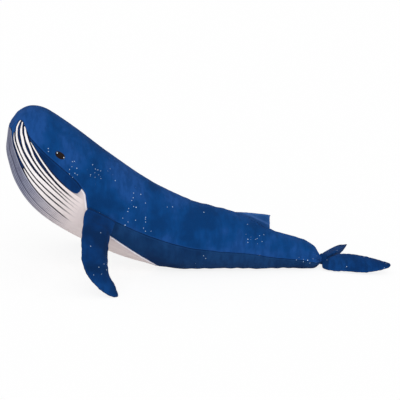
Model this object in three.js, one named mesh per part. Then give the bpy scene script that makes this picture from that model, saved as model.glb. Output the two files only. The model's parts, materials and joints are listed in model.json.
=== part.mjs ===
// Plush whale: a stuffed blue whale about a metre long that rests on its belly
// and on the tips of its two flippers, with its head raised.
// Millimetres, +Z up. The head points to -X, the flukes to +X, the left side to -Y.
import * as THREE from 'three';
import { mergeVertices } from 'three/addons/utils/BufferGeometryUtils.js';

// Cloth, seams and floor
const clothThickness = 1;
const seamGap = 0.3;
const floorCutDepth = 0.5;

// Body, from the nose to its gathered end at the flukes
const bodyLength = 774;
const bodyHeight = 397;
const bodyHalfWidth = 98;
const noseHoleShare = 0.0036;
const fillingCutShares = [0.293, 0.578];

// Embroidered eyes
const eyeLength = 26;
const eyeHeight = 17;
const eyeThickness = 0.8;
const eyePlaceShare = 0.2996;
const eyeTurnShare = 0.622;
const eyeRingCount = 3;
const eyeColumnCount = 18;

// Flippers, each sewn into the side seam behind the throat
const flipperLength = 201;
const flipperChord = 73;
const flipperHalfThickness = 12;
const flipperRootRadius = 6;
const flipperRootClearance = 0.8;
const flipperFrontShare = 0.3947;
const flipperRearShare = 0.4418;
const flipperTurnShare = 0.456;

// Dorsal fin, sewn into the seam along the back
const finBaseLength = 96;
const finHeight = 31;
const finHalfThickness = 3.2;
const finRootRadius = 2;
const finRootClearance = 1;
const finFrontShare = 0.667;
const finRearShare = 0.765;

// Gathered neck between the body and the flukes
const neckRadius = 10;
const neckHeight = 26;
const neckEndRadius = 6;
const neckRowCount = 6;
const neckColumnCount = 20;

// Flukes
const flukeLength = 157;
const flukeHalfChord = 38;
const flukeHalfThickness = 9;
const flukeRootRadius = 4;
const flukeYawDegrees = 18;
const flukeSplayDegrees = 38;
const flukeRollDegrees = 33;

// Stations of the body from the nose to the gathered end. Each row holds, as shares of the
// body's length, height and half width: the back's place and height, the belly's place and
// height, and the half width between them.
const bodyStationShares = [
  [0.010, 0.874, 0.010, 0.874, 0.00],
  [0.021, 0.917, 0.004, 0.811, 0.33],
  [0.041, 0.967, 0.000, 0.736, 0.57],
  [0.078, 1.000, 0.009, 0.650, 0.78],
  [0.124, 0.985, 0.027, 0.537, 0.91],
  [0.178, 0.917, 0.061, 0.428, 0.98],
  [0.240, 0.833, 0.116, 0.322, 1.00],
  [0.310, 0.730, 0.194, 0.229, 0.99],
  [0.390, 0.622, 0.297, 0.134, 0.95],
  [0.478, 0.521, 0.413, 0.043, 0.88],
  [0.576, 0.436, 0.534, 0.000, 0.79],
  [0.655, 0.394, 0.635, 0.000, 0.70],
  [0.722, 0.361, 0.715, 0.000, 0.63],
  [0.782, 0.305, 0.782, 0.000, 0.57],
  [0.842, 0.249, 0.842, 0.000, 0.50],
  [0.900, 0.220, 0.900, 0.000, 0.43],
  [0.944, 0.194, 0.944, 0.000, 0.37],
  [0.979, 0.154, 0.982, 0.003, 0.28],
  [1.000, 0.091, 1.000, 0.030, 0.14],
];

// Rows of the cloth along the body, as shares of the way through the stations
const bodyRowShares = [
  noseHoleShare, 0.027, 0.056, 0.089, 0.111, 0.138, 0.169, 0.209, 0.249, 0.293, 0.333, 0.369, 0.394,
  0.418, 0.444, 0.471, 0.498, 0.52, 0.533, 0.578, 0.622, 0.667, 0.722, 0.778, 0.82, 0.86, 0.9, 0.94,
  0.97, 0.985, 1,
];

// Seams of the body: the way along it, and the turn from the belly up to the back
const throatSeamShares = [
  [0, 0.51], [0.056, 0.53], [0.089, 0.56], [0.111, 0.65], [0.138, 0.67], [0.169, 0.61], [0.209, 0.54],
  [0.249, 0.53], [0.293, 0.53], [0.333, 0.53], [0.369, 0.54], [0.394, 0.446], [0.418, 0.38],
  [0.444, 0.335], [0.471, 0.3], [0.498, 0.25], [0.52, 0.165], [0.533, 0], [1, 0],
];
const sideSeamShares = [
  [0, 0], [0.369, 0], [0.394, 0.446], [0.444, 0.46], [0.498, 0.465], [0.578, 0.445], [0.64, 0.425],
  [0.735, 0.437], [0.84, 0.43], [0.92, 0.4], [1, 0.36],
];
const throatEndShare = 0.533;
const bellyTipShare = 0.3955;

// Columns of the cloth round the body. The first belly column lies inside the flat strip.
const throatColumnShares = [0, 0.1, 0.325, 0.55, 0.775, 1];
const bellyColumnShares = [0, 0.08, 0.38, 0.69, 1];
const backColumnShares = [0, 0.15, 0.3, 0.45, 0.6, 0.74, 0.87, 1];

// Power of the cross-sections: 2 is an ellipse, and more is fuller
const bodyPower = 2.2;
const limbPower = 2;

// Outline of a flipper from its tip to its root. Each row holds the front edge, the rear edge
// (along the root, out from the root) and the half thickness, as shares of the chord, the
// length and the greatest half thickness.
const flipperStationShares = [
  [1.27, 0.962, 1.27, 0.962, 0.00],
  [1.11, 0.999, 1.24, 0.921, 0.34],
  [0.80, 1.000, 1.15, 0.872, 0.58],
  [0.44, 0.960, 1.04, 0.820, 0.76],
  [0.09, 0.877, 0.90, 0.755, 0.90],
  [-0.18, 0.750, 0.78, 0.662, 0.98],
  [-0.36, 0.570, 0.67, 0.540, 1.00],
  [-0.50, 0.377, 0.58, 0.385, 1.00],
  [-0.57, 0.205, 0.52, 0.215, 0.92],
  [-0.58, 0.095, 0.49, 0.100, 0.75],
  [-0.53, 0.000, 0.49, 0.000, 0.50],
];

// Outline of the dorsal fin from its point to its base, in the same order, as shares of the
// base length, the height and the half thickness
const finStationShares = [
  [0.80, 1.00, 0.80, 1.00, 0.00],
  [0.66, 0.88, 0.83, 0.84, 0.45],
  [0.48, 0.66, 0.87, 0.62, 0.70],
  [0.29, 0.41, 0.92, 0.39, 0.86],
  [0.12, 0.19, 0.96, 0.18, 0.96],
  [0.00, 0.00, 1.00, 0.00, 0.62],
];

// Outline of a fluke lobe from its tip to its root, in the same order: the leading edge lies on
// the negative side and the trailing edge faces the other lobe. Shares of the half chord, the
// length and the half thickness.
const flukeStationShares = [
  [0.05, 1.000, 0.05, 1.000, 0.00],
  [-0.22, 0.955, 0.24, 0.935, 0.34],
  [-0.55, 0.860, 0.40, 0.850, 0.60],
  [-0.82, 0.715, 0.55, 0.715, 0.82],
  [-0.97, 0.530, 0.70, 0.530, 0.97],
  [-1.00, 0.350, 0.78, 0.350, 1.00],
  [-0.96, 0.210, 0.70, 0.210, 0.95],
  [-0.88, 0.100, 0.46, 0.100, 0.75],
  [-0.72, 0.000, 0.20, 0.000, 0.44],
];

// Rows and columns of a limb's cloth, and the row from the tip where its filling starts
const limbRowCount = 9;
const limbColumnCount = 6;
const limbFillingStartRow = 2;
const rootRoundingCount = 3;

const fullTurn = 2 * Math.PI;

// Small step in a share or a turn, for slopes, and the distance within which corners are one
const probe = 1e-4;
const weldDistance = 1e-4;
const halvingCount = 30;

const cloth = (color) => new THREE.MeshStandardMaterial({ color, roughness: 0.85, metalness: 0 });
const backBlue = () => cloth(0x124887);
const bellyBlue = () => cloth(0x0e3769);
const limbNavy = () => cloth(0x0b2f68);
const throatWhite = () => cloth(0xe6dcdc);
const eyeBlack = () => cloth(0x1a1210);
const fibreWhite = () => cloth(0xf2f2f0);

// Straight line through a table of [share, value] rows
function readTable(rows, share) {
  const after = Math.max(1, rows.findIndex((row) => row[0] >= share));
  const [start, startValue] = rows[after - 1];
  const [end, endValue] = rows[after];
  return startValue + ((endValue - startValue) * (share - start)) / (end - start);
}

const throatTurn = (share) => readTable(throatSeamShares, share) * Math.PI;
const sideTurn = (share) => readTable(sideSeamShares, share) * Math.PI;
const lowerBackTurn = (share) => Math.max(throatTurn(share), sideTurn(share));

// A form swells between two edges. One curve runs up the first edge, over the pole and down
// the second; its y holds the half thickness, negative on the first edge. The turn is 0 on the
// second edge, half a turn on the first, and positive towards +Y.
class SwelledForm {
  constructor(stations, power, place = new THREE.Matrix4()) {
    const firstEdge = stations.slice(1).reverse().map(([x, z, , , half]) => new THREE.Vector3(x, -half, z));
    const secondEdge = stations.map(([, , x, z, half]) => new THREE.Vector3(x, half, z));
    this.curve = new THREE.CatmullRomCurve3([...firstEdge, ...secondEdge], false, 'catmullrom');
    this.power = 2 / power;
    this.place = place;
    this.unplace = place.clone().invert();
  }

  point(share, turn) {
    const first = this.curve.getPoint((1 - share) / 2);
    const second = this.curve.getPoint((1 + share) / 2);
    const up = Math.sign(Math.cos(turn)) * Math.abs(Math.cos(turn)) ** this.power;
    const out = Math.sign(Math.sin(turn)) * Math.abs(Math.sin(turn)) ** this.power;
    const point = first.clone().add(second).divideScalar(2);
    point.addScaledVector(second.clone().sub(first).divideScalar(2), up);
    point.y = second.y * out;
    return point;
  }

  normal(share, turn) {
    const low = Math.min(Math.max(share, 2 * probe), 1) - probe;
    const along = this.point(low + probe, turn).sub(this.point(low, turn));
    const round = this.point(low, turn + probe).sub(this.point(low, turn - probe));
    return round.cross(along).normalize();
  }

  // Point at a depth under the surface, kept on its side of a middle seam and above the floor
  skin(share, turn, depth, side = 0) {
    const point = this.point(share, turn).addScaledVector(this.normal(share, turn), -depth);
    if (side !== 0) point.y = side * Math.max(side * point.y, seamGap / 2);
    point.applyMatrix4(this.place);
    point.z = Math.max(point.z, depth);
    return point.applyMatrix4(this.unplace);
  }
}

// Closed geometry from positions and faces, with shared corners merged, empty faces dropped
// and all faces turned outwards
function closedGeometry(points, faces) {
  const loose = new THREE.BufferGeometry();
  loose.setAttribute('position', new THREE.Float32BufferAttribute(points.flatMap((p) => [p.x, p.y, p.z]), 3));
  loose.setIndex(faces.flat());
  const geometry = mergeVertices(loose, weldDistance);
  const index = geometry.getIndex().array;
  const kept = [];
  for (let i = 0; i < index.length; i += 3) {
    const [a, b, c] = index.slice(i, i + 3);
    if (a !== b && b !== c && c !== a) kept.push([a, b, c]);
  }
  const corner = (i) => new THREE.Vector3().fromBufferAttribute(geometry.getAttribute('position'), i);
  const volume = kept.reduce((sum, [a, b, c]) => sum + corner(a).dot(corner(b).cross(corner(c))), 0);
  geometry.setIndex((volume < 0 ? kept.map(([a, b, c]) => [a, c, b]) : kept).flat());
  geometry.computeVertexNormals();
  return geometry;
}

// Two faces for each cell of a grid of point numbers, split along the cell's shorter diagonal
function gridFaces(points, grid) {
  const faces = [];
  const distance = (a, b) => points[a].distanceTo(points[b]);
  for (let i = 0; i + 1 < grid.length; i += 1) {
    for (let j = 0; j + 1 < grid[i].length; j += 1) {
      const [a, b, c, d] = [grid[i][j], grid[i + 1][j], grid[i + 1][j + 1], grid[i][j + 1]];
      if (distance(a, c) < distance(b, d)) faces.push([a, b, c], [a, c, d]);
      else faces.push([a, b, d], [b, c, d]);
    }
  }
  return faces;
}

// Sheet between an outer and an inner grid of points, with a wall along each open border. The
// first and last columns of a round patch are the same, so it has no wall along them.
function sheetGeometry(outer, inner, isRound = false) {
  const columns = outer[0].length;
  const size = outer.length * columns;
  const numbers = (start) => outer.map((row, i) => row.map((_, j) => start + i * columns + j));
  const top = numbers(0);
  const bottom = numbers(size);
  const rowBorders = [(grid) => grid[0], (grid) => [...grid.at(-1)].reverse()];
  const columnBorders = [
    (grid) => grid.map((row) => row.at(-1)),
    (grid) => grid.map((row) => row[0]).reverse(),
  ];
  const borders = isRound ? rowBorders : [...rowBorders, ...columnBorders];
  const points = [...outer.flat(), ...inner.flat()];
  const flipped = ([a, b, c]) => [a, c, b];
  const faces = [
    ...gridFaces(points, top),
    ...gridFaces(points, bottom).map(flipped),
    ...borders.flatMap((border) => gridFaces(points, [border(top), border(bottom)]).map(flipped)),
  ];
  return closedGeometry(points, faces);
}

const middleOf = (points) => (
  points.reduce((sum, point) => sum.add(point), new THREE.Vector3()).divideScalar(points.length)
);

// Closed body from rings of points, each end closed onto the middle of its ring
function ringGeometry(rings) {
  const cap = (ring) => ring.map(() => middleOf(ring));
  const capped = [cap(rings[0]), ...rings, cap(rings.at(-1))];
  const columns = rings[0].length;
  const grid = capped.map((ring, i) => [...ring.map((_, j) => i * columns + j), i * columns]);
  const points = capped.flat();
  return closedGeometry(points, gridFaces(points, grid));
}

function mesh(name, geometry, material) {
  const piece = new THREE.Mesh(geometry, material);
  piece.name = name;
  return piece;
}

const spread = (start, end, shares) => shares.map((share) => start + (end - start) * share);
const evenShares = (count) => Array.from({ length: count + 1 }, (_, i) => i / count);
const nameOfSide = (side) => (side < 0 ? 'left' : 'right');

// Body

const bodyForm = new SwelledForm(
  bodyStationShares.map(([backX, backZ, bellyX, bellyZ, half]) => [
    backX * bodyLength,
    backZ * bodyHeight - floorCutDepth,
    bellyX * bodyLength,
    bellyZ * bodyHeight - floorCutDepth,
    half * bodyHalfWidth,
  ]),
  bodyPower,
);

// Turn that moves a seam's edge half the seam's gap sideways, whichever way the seam runs
function halfGapTurn(seamTurn, share) {
  const low = Math.min(share, 1 - probe);
  const turn = seamTurn(low);
  const start = bodyForm.point(low, turn);
  const round = bodyForm.point(low, turn + probe).distanceTo(start) / probe;
  const along = bodyForm.point(low + probe, turn).distanceTo(start) / probe;
  const slope = (seamTurn(low + probe) - turn) / probe;
  return ((seamGap / 2) * Math.hypot(1, (slope * round) / along)) / round;
}

function bodySheet(rows, turnsAt, side) {
  const grid = (depth) => rows.map((share) => (
    turnsAt(share).map((turn) => bodyForm.skin(share, turn, depth, side))
  ));
  return sheetGeometry(grid(0), grid(clothThickness));
}

const rowsFrom = (start, end) => bodyRowShares.filter((share) => share >= start && share <= end);

function throatPanel() {
  const turnsAt = (share) => {
    const edge = Math.max(0, throatTurn(share) - halfGapTurn(throatTurn, share));
    const half = spread(0, edge, throatColumnShares);
    return [...half.slice(1).reverse().map((turn) => -turn), ...half];
  };
  return mesh('throat_panel', bodySheet(rowsFrom(0, throatEndShare), turnsAt, 0), throatWhite());
}

function bellyPanel(side) {
  const turnsAt = (share) => {
    const low = throatTurn(share);
    const start = low > 0 ? low + halfGapTurn(throatTurn, share) : 0;
    const end = Math.max(start, sideTurn(share) - halfGapTurn(sideTurn, share));
    return spread(start, end, bellyColumnShares).map((turn) => side * turn);
  };
  const sheet = bodySheet([bellyTipShare, ...rowsFrom(bellyTipShare, 1)], turnsAt, side);
  return mesh(`belly_panel_${nameOfSide(side)}`, sheet, bellyBlue());
}

function backPanel(side) {
  const turnsAt = (share) => {
    const start = lowerBackTurn(share) + halfGapTurn(lowerBackTurn, share);
    return spread(start, Math.PI, backColumnShares).map((turn) => side * turn);
  };
  return mesh(`back_panel_${nameOfSide(side)}`, bodySheet(bodyRowShares, turnsAt, side), backBlue());
}

// Turns of a whole ring under the three kinds of panel, from the belly up to the back
function halfRing(share) {
  const throat = throatTurn(share);
  const back = lowerBackTurn(share);
  return [
    ...spread(0, throat, throatColumnShares),
    ...spread(throat, back, bellyColumnShares).slice(1),
    ...spread(back, Math.PI, backColumnShares).slice(1),
  ];
}

function fillingRing(share) {
  const half = halfRing(share);
  const turns = [...half, ...half.slice(1, -1).reverse().map((turn) => fullTurn - turn)];
  return turns.map((turn) => bodyForm.skin(share, turn, clothThickness + seamGap));
}

// Wadding of one stretch of the body, its ends half a seam gap short of the next stretch
function bodyFilling(name, start, end) {
  const halfGapShare = seamGap / 2 / bodyLength;
  const first = start === 0 ? 0 : start + halfGapShare;
  const last = end === 1 ? 1 : end - halfGapShare;
  const between = bodyRowShares.filter((share) => share > first && share < last);
  return mesh(name, ringGeometry([first, ...between, last].map(fillingRing)), fibreWhite());
}

// Raised oval of thread on the cloth, longer along the body than round it
function eye(side) {
  const centreTurn = side * eyeTurnShare * Math.PI;
  const centre = bodyForm.point(eyePlaceShare, centreTurn);
  const along = bodyForm.point(eyePlaceShare + probe, centreTurn).distanceTo(centre) / probe;
  const round = bodyForm.point(eyePlaceShare, centreTurn + probe).distanceTo(centre) / probe;
  const ringShares = evenShares(eyeRingCount);
  const angles = evenShares(eyeColumnCount).map((share) => share * fullTurn);
  const grid = (depthAt) => ringShares.map((reach) => angles.map((angle) => bodyForm.skin(
    eyePlaceShare + (reach * Math.cos(angle) * eyeLength) / 2 / along,
    centreTurn + (reach * Math.sin(angle) * eyeHeight) / 2 / round,
    depthAt(reach),
  )));
  const crown = (reach) => -seamGap - eyeThickness * (1 - reach ** 2 / 2);
  const patch = sheetGeometry(grid(crown), grid(() => -seamGap), true);
  return mesh(`eye_${nameOfSide(side)}`, patch, eyeBlack());
}

// Limbs: each lies in a frame of its own, with its root line along x, the way out from the
// root along -z and its thickness along y. Its root is rounded about the root line.

function limbStations(shares, chord, length, halfThickness, rootRadius) {
  const outline = shares.map(([firstX, firstZ, secondX, secondZ, half]) => [
    firstX * chord, -firstZ * length, secondX * chord, -secondZ * length, half * halfThickness,
  ]);
  const [firstX, , secondX] = outline.pop();
  const rounding = evenShares(rootRoundingCount).map((share) => {
    const angle = (share * Math.PI) / 2;
    const height = rootRadius * Math.sin(angle);
    return [firstX, height, secondX, height, rootRadius * Math.cos(angle)];
  });
  return [...outline, ...rounding];
}

// Cloth of one face of a limb. With no cloth depth given it is solid down to the middle seam.
function limbSheet(form, side, depth) {
  const rows = limbRows(form);
  const turns = evenShares(limbColumnCount).map((share) => side * share * Math.PI);
  const outer = rows.map((share) => turns.map((turn) => form.skin(share, turn, 0, side)));
  const flat = (point) => new THREE.Vector3(point.x, (side * seamGap) / 2, point.z);
  const inner = depth > 0
    ? rows.map((share) => turns.map((turn) => form.skin(share, turn, depth, side)))
    : outer.map((row) => row.map(flat));
  return sheetGeometry(outer, inner);
}

// Rows of a limb: even along its outline, then one at each step of the rounded root
function limbRows(form) {
  const rootShare = 1 - (2 * rootRoundingCount) / (form.curve.points.length - 1);
  const outline = spread(0, rootShare, evenShares(limbRowCount));
  return [...outline, ...spread(rootShare, 1, evenShares(rootRoundingCount)).slice(1)];
}

function limbFilling(form) {
  const rows = limbRows(form).slice(limbFillingStartRow);
  const turns = evenShares(2 * limbColumnCount).slice(0, -1).map((share) => share * fullTurn);
  const ring = (share) => turns.map((turn) => form.skin(share, turn, clothThickness + seamGap));
  return ringGeometry(rows.map(ring));
}

// A limb's frame from its root's middle, the way along the root and the way out
function limbFrame(middle, alongRoot, outward) {
  const x = alongRoot.clone().normalize();
  const z = outward.clone().normalize().negate();
  const y = z.clone().cross(x);
  return new THREE.Matrix4().makeBasis(x, y, z).setPosition(middle);
}

function placed(frame, pieces) {
  const group = new THREE.Group();
  frame.decompose(group.position, group.quaternion, group.scale);
  group.add(...pieces);
  return group;
}

// Flippers

function flipperFrame(side, splay) {
  const stand = -(flipperRootRadius + flipperRootClearance);
  const turn = side * flipperTurnShare * Math.PI;
  const front = bodyForm.skin(flipperFrontShare, turn, stand);
  const rear = bodyForm.skin(flipperRearShare, turn, stand);
  const along = rear.clone().sub(front).normalize();
  const down = new THREE.Vector3(0, 0, -1);
  down.addScaledVector(along, -down.dot(along)).normalize();
  const out = down.clone().cross(along).multiplyScalar(-side);
  const outward = down.multiplyScalar(Math.cos(splay)).addScaledVector(out, Math.sin(splay));
  return limbFrame(front.add(rear).divideScalar(2), along, outward);
}

const flipperStations = limbStations(
  flipperStationShares, flipperChord, flipperLength, flipperHalfThickness, flipperRootRadius,
);

function lowestPoint(frame) {
  const form = new SwelledForm(flipperStations, limbPower, frame);
  const turns = evenShares(2 * limbColumnCount).map((share) => share * fullTurn);
  const points = limbRows(form).flatMap((share) => turns.map((turn) => form.point(share, turn)));
  return Math.min(...points.map((point) => point.applyMatrix4(frame).z));
}

// Splay at which the flipper's tip reaches the floor, found by halving the interval
function restingSplay(side) {
  let low = 0;
  let high = Math.PI / 2;
  for (let step = 0; step < halvingCount; step += 1) {
    const middle = (low + high) / 2;
    if (lowestPoint(flipperFrame(side, middle)) < -floorCutDepth) low = middle;
    else high = middle;
  }
  return high;
}

function flipper(side) {
  const frame = flipperFrame(side, restingSplay(side));
  const form = new SwelledForm(flipperStations, limbPower, frame);
  const name = `flipper_${nameOfSide(side)}`;
  return placed(frame, [
    mesh(`${name}_outer_panel`, limbSheet(form, side, clothThickness), limbNavy()),
    mesh(`${name}_inner_panel`, limbSheet(form, -side, clothThickness), limbNavy()),
    mesh(`${name}_filling`, limbFilling(form), fibreWhite()),
  ]);
}

// Dorsal fin

function dorsalFin() {
  const stand = -(finRootRadius + finRootClearance);
  const front = bodyForm.skin(finFrontShare, Math.PI, stand);
  const rear = bodyForm.skin(finRearShare, Math.PI, stand);
  const along = rear.clone().sub(front).normalize();
  const middle = front.add(rear).divideScalar(2).addScaledVector(along, -finBaseLength / 2);
  const frame = limbFrame(middle, along, new THREE.Vector3(-along.z, 0, along.x));
  const stations = limbStations(finStationShares, finBaseLength, finHeight, finHalfThickness, finRootRadius);
  const form = new SwelledForm(stations, limbPower, frame);
  return placed(frame, [
    mesh('dorsal_fin_left_panel', limbSheet(form, 1, 0), limbNavy()),
    mesh('dorsal_fin_right_panel', limbSheet(form, -1, 0), limbNavy()),
  ]);
}

// Tail neck and flukes

const fillingEnd = middleOf([0, Math.PI].map((turn) => bodyForm.skin(1, turn, clothThickness + seamGap)));
const neckCentre = new THREE.Vector3(fillingEnd.x + seamGap + neckRadius, 0, fillingEnd.z);

// Upright barrel of gathered cloth, narrower at its two ends
function tailNeck() {
  const turns = evenShares(neckColumnCount).slice(0, -1).map((share) => share * fullTurn);
  const rings = evenShares(neckRowCount).map((share) => {
    const angle = ((2 * share - 1) * Math.PI) / 2;
    const radius = neckEndRadius + (neckRadius - neckEndRadius) * Math.cos(angle);
    const height = (neckHeight / 2) * Math.sin(angle);
    return turns.map((turn) => new THREE.Vector3(radius * Math.cos(turn), radius * Math.sin(turn), height));
  });
  const neck = mesh('tail_neck', ringGeometry(rings), limbNavy());
  neck.position.copy(neckCentre);
  return neck;
}

// A lobe points out at its splay from the yawed tail line, and its leading edge droops
function fluke(side) {
  const heading = THREE.MathUtils.degToRad(flukeYawDegrees + side * flukeSplayDegrees);
  const roll = THREE.MathUtils.degToRad(flukeRollDegrees);
  const outward = new THREE.Vector3(Math.cos(heading), Math.sin(heading), 0);
  const towardsOther = new THREE.Vector3(side * Math.sin(heading), -side * Math.cos(heading), 0);
  const alongRoot = towardsOther.multiplyScalar(Math.cos(roll)).add(new THREE.Vector3(0, 0, Math.sin(roll)));
  const reach = neckRadius + seamGap + flukeRootRadius;
  const frame = limbFrame(neckCentre.clone().addScaledVector(outward, reach), alongRoot, outward);
  const stations = limbStations(
    flukeStationShares, flukeHalfChord, flukeLength, flukeHalfThickness, flukeRootRadius,
  );
  const form = new SwelledForm(stations, limbPower, frame);
  const name = `fluke_${nameOfSide(side)}`;
  const topSide = new THREE.Vector3().setFromMatrixColumn(frame, 1).z > 0 ? 1 : -1;
  return placed(frame, [
    mesh(`${name}_top_panel`, limbSheet(form, topSide, clothThickness), limbNavy()),
    mesh(`${name}_under_panel`, limbSheet(form, -topSide, clothThickness), limbNavy()),
    mesh(`${name}_filling`, limbFilling(form), fibreWhite()),
  ]);
}

const whale = new THREE.Group();
whale.add(throatPanel());
for (const side of [-1, 1]) {
  whale.add(backPanel(side), bellyPanel(side), eye(side), flipper(side), fluke(side));
}
whale.add(
  bodyFilling('head_filling', 0, fillingCutShares[0]),
  bodyFilling('trunk_filling', fillingCutShares[0], fillingCutShares[1]),
  bodyFilling('tail_filling', fillingCutShares[1], 1),
  dorsalFin(),
  tailNeck(),
);

// The origin lies on the floor under the middle of the whole whale
const extent = new THREE.Box3().setFromObject(whale, true);
const centre = extent.getCenter(new THREE.Vector3());
whale.position.set(-centre.x, -centre.y, 0);

export default whale;
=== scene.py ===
import json
import math

import bpy
import numpy as np
from mathutils import Matrix, Vector
from mathutils.kdtree import KDTree


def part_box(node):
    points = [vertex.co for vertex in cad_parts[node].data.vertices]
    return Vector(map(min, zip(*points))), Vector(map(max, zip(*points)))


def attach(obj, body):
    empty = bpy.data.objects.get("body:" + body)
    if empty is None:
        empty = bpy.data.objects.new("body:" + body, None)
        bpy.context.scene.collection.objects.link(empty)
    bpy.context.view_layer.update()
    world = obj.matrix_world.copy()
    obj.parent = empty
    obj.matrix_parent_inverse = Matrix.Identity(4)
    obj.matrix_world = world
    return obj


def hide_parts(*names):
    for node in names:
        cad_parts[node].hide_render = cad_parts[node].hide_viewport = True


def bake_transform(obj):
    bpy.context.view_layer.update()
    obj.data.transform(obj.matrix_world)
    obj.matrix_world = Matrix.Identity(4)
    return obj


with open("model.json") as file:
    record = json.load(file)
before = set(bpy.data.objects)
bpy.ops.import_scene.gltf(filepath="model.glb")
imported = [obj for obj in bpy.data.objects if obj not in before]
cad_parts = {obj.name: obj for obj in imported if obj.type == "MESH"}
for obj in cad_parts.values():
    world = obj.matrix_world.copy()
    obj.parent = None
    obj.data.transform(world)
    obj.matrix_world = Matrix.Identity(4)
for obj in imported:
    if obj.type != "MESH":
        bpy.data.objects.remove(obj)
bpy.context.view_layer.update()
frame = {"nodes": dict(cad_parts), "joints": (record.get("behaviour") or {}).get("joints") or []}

SIDES = {"left": -1, "right": 1}
JOINTS = {joint["name"]: joint for joint in frame["joints"]}

# Body, as the solids have it
BODY_LENGTH = 0.774
BODY_HEIGHT = 0.397
BODY_HALF_WIDTH = 0.098
BODY_POWER = 2.2
FLOOR_CUT_DEPTH = 0.0005
NOSE_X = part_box("back_panel_left")[1].x - BODY_LENGTH
NECK_LOW, NECK_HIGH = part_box("tail_neck")
NECK_CENTRE = np.array((NECK_LOW + NECK_HIGH) / 2)
NECK_RADIUS = 0.010
NECK_HEIGHT = 0.026
NECK_END_RADIUS = 0.006

# Limbs, as the solids have them
FLIPPER_LENGTH = 0.201
FLIPPER_CHORD = 0.073
FLIPPER_HALF_THICKNESS = 0.012
FLUKE_LENGTH = 0.157
FLUKE_HALF_CHORD = 0.038
FLUKE_HALF_THICKNESS = 0.009
FIN_BASE_LENGTH = 0.096
FIN_HEIGHT = 0.031
FIN_HALF_THICKNESS = 0.0032
LIMB_POWER = 2.0

# Cloth, its seams and what the stuffing does to it
CLOTH_THICKNESS = 0.001
SEAM_DEPTH = 0.0024
SEAM_RADIUS = 0.0028
VALLEY_DEPTH = 0.0012
VALLEY_REACH = 0.016
PUCKER_HEIGHT = 0.0006
PUCKER_LENGTH = 0.011
PUCKER_REACH = 0.011
LUMP_HEIGHT = 0.0010
LUMP_LENGTH = 0.11
LIMB_LUMP_HEIGHT = 0.0006
LIMB_LUMP_LENGTH = 0.05
LIMB_LUMP_REACH = 0.02
LIMB_SEAM_DEPTH_SHARE = 0.8
FOLD_HEIGHT = 0.0008
FOLD_LENGTH = 0.028
FOLD_STRETCH_SHARES = (1.0, 0.3, 0.3)
FOLD_START_SHARES = (0.50, 0.60)
FOLD_END_SHARES = (0.90, 0.97)
LIFT_HEIGHT = 0.0022
LIFT_LENGTH = 0.07
LIFT_REACH = 0.012

# Uneven waves: their lengths as shares of the length asked for, and the seed of each kind
WAVE_LENGTH_SHARES = (0.8, 1.5)
PUCKER_SEED = 3
LUMP_SEED = 5
FOLD_SEED = 7
FILLING_SEED = 8
LIFT_SEED = 11
LIMB_PUCKER_SEED = 4
LIMB_LUMP_SEED = 6

# Gathered end of the body: its pleats, the soft folds before them and the sleeve into the neck,
# whose sink, half width and half height are shares of the neck's radius and height
GATHER_HEIGHT = 0.0014
GATHER_COUNT = 17
GATHER_SHARES = (0.93, 1.0)
SOFT_GATHER_HEIGHT = 0.0010
SOFT_GATHER_COUNT = 7
SOFT_GATHER_SHARES = (0.84, 0.97)
SLEEVE_REACH = 0.003
SLEEVE_ROWS = 6
SLEEVE_SHARES = (0.5, 0.8, 0.42)

# Pitch of the rows of cloth, and the columns of each panel, packed closer beside its seams
THROAT_PITCH = 0.0020
BODY_PITCH = 0.0028
LIMB_PITCH = 0.0024
FIN_PITCH = 0.0016
THROAT_COLUMNS = 116
BACK_COLUMNS = 66
BELLY_COLUMNS = 54
LIMB_COLUMNS = 46
FIN_COLUMNS = 44
PACKING = 6
PACKING_REACH_SHARE = 0.03

# Filling of the body: how deep it lies in the cloth, deeper where the tail is gathered
FILLING_DEPTH = 0.0055
GATHERED_FILLING_DEPTH = 0.0100
GATHERED_SHARES = (0.78, 0.90)
FILLING_LUMP_HEIGHT = 0.0015
FILLING_LUMP_LENGTH = 0.03
FILLING_PITCH = 0.007
FILLING_COLUMNS = 72
FILLING_START_SHARE = 0.004
FILLING_CUT_SHARES = (0.293, 0.578)
FILLING_GAP_SHARE = 0.0004

# Filling of a limb: each ring of its form is drawn towards its own middle, to these shares along
# the chord, the thickness and the length
LIMB_FILLING_SHARES = (0.86, 0.60, 0.90)
LIMB_FILLING_START_SHARE = 0.16
LIMB_FILLING_PITCH = 0.006
LIMB_FILLING_COLUMNS = 36

# Eyes, with two glints: their places as shares of the eye's half length and half height, and
# their radii as shares of the larger one's
EYE_LENGTH = 0.026
EYE_HEIGHT = 0.015
EYE_TILT = math.radians(12)
EYE_CROWN = 0.0014
EYE_SHARE = 0.2996
EYE_TURN_SHARE = 0.622
EYE_RINGS = 22
EYE_COLUMNS = 72
GLINT_RADIUS = 0.0016
GLINT_SHARES = [(-0.66, 0.25, 1), (0.80, -0.1, 0.875)]

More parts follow.
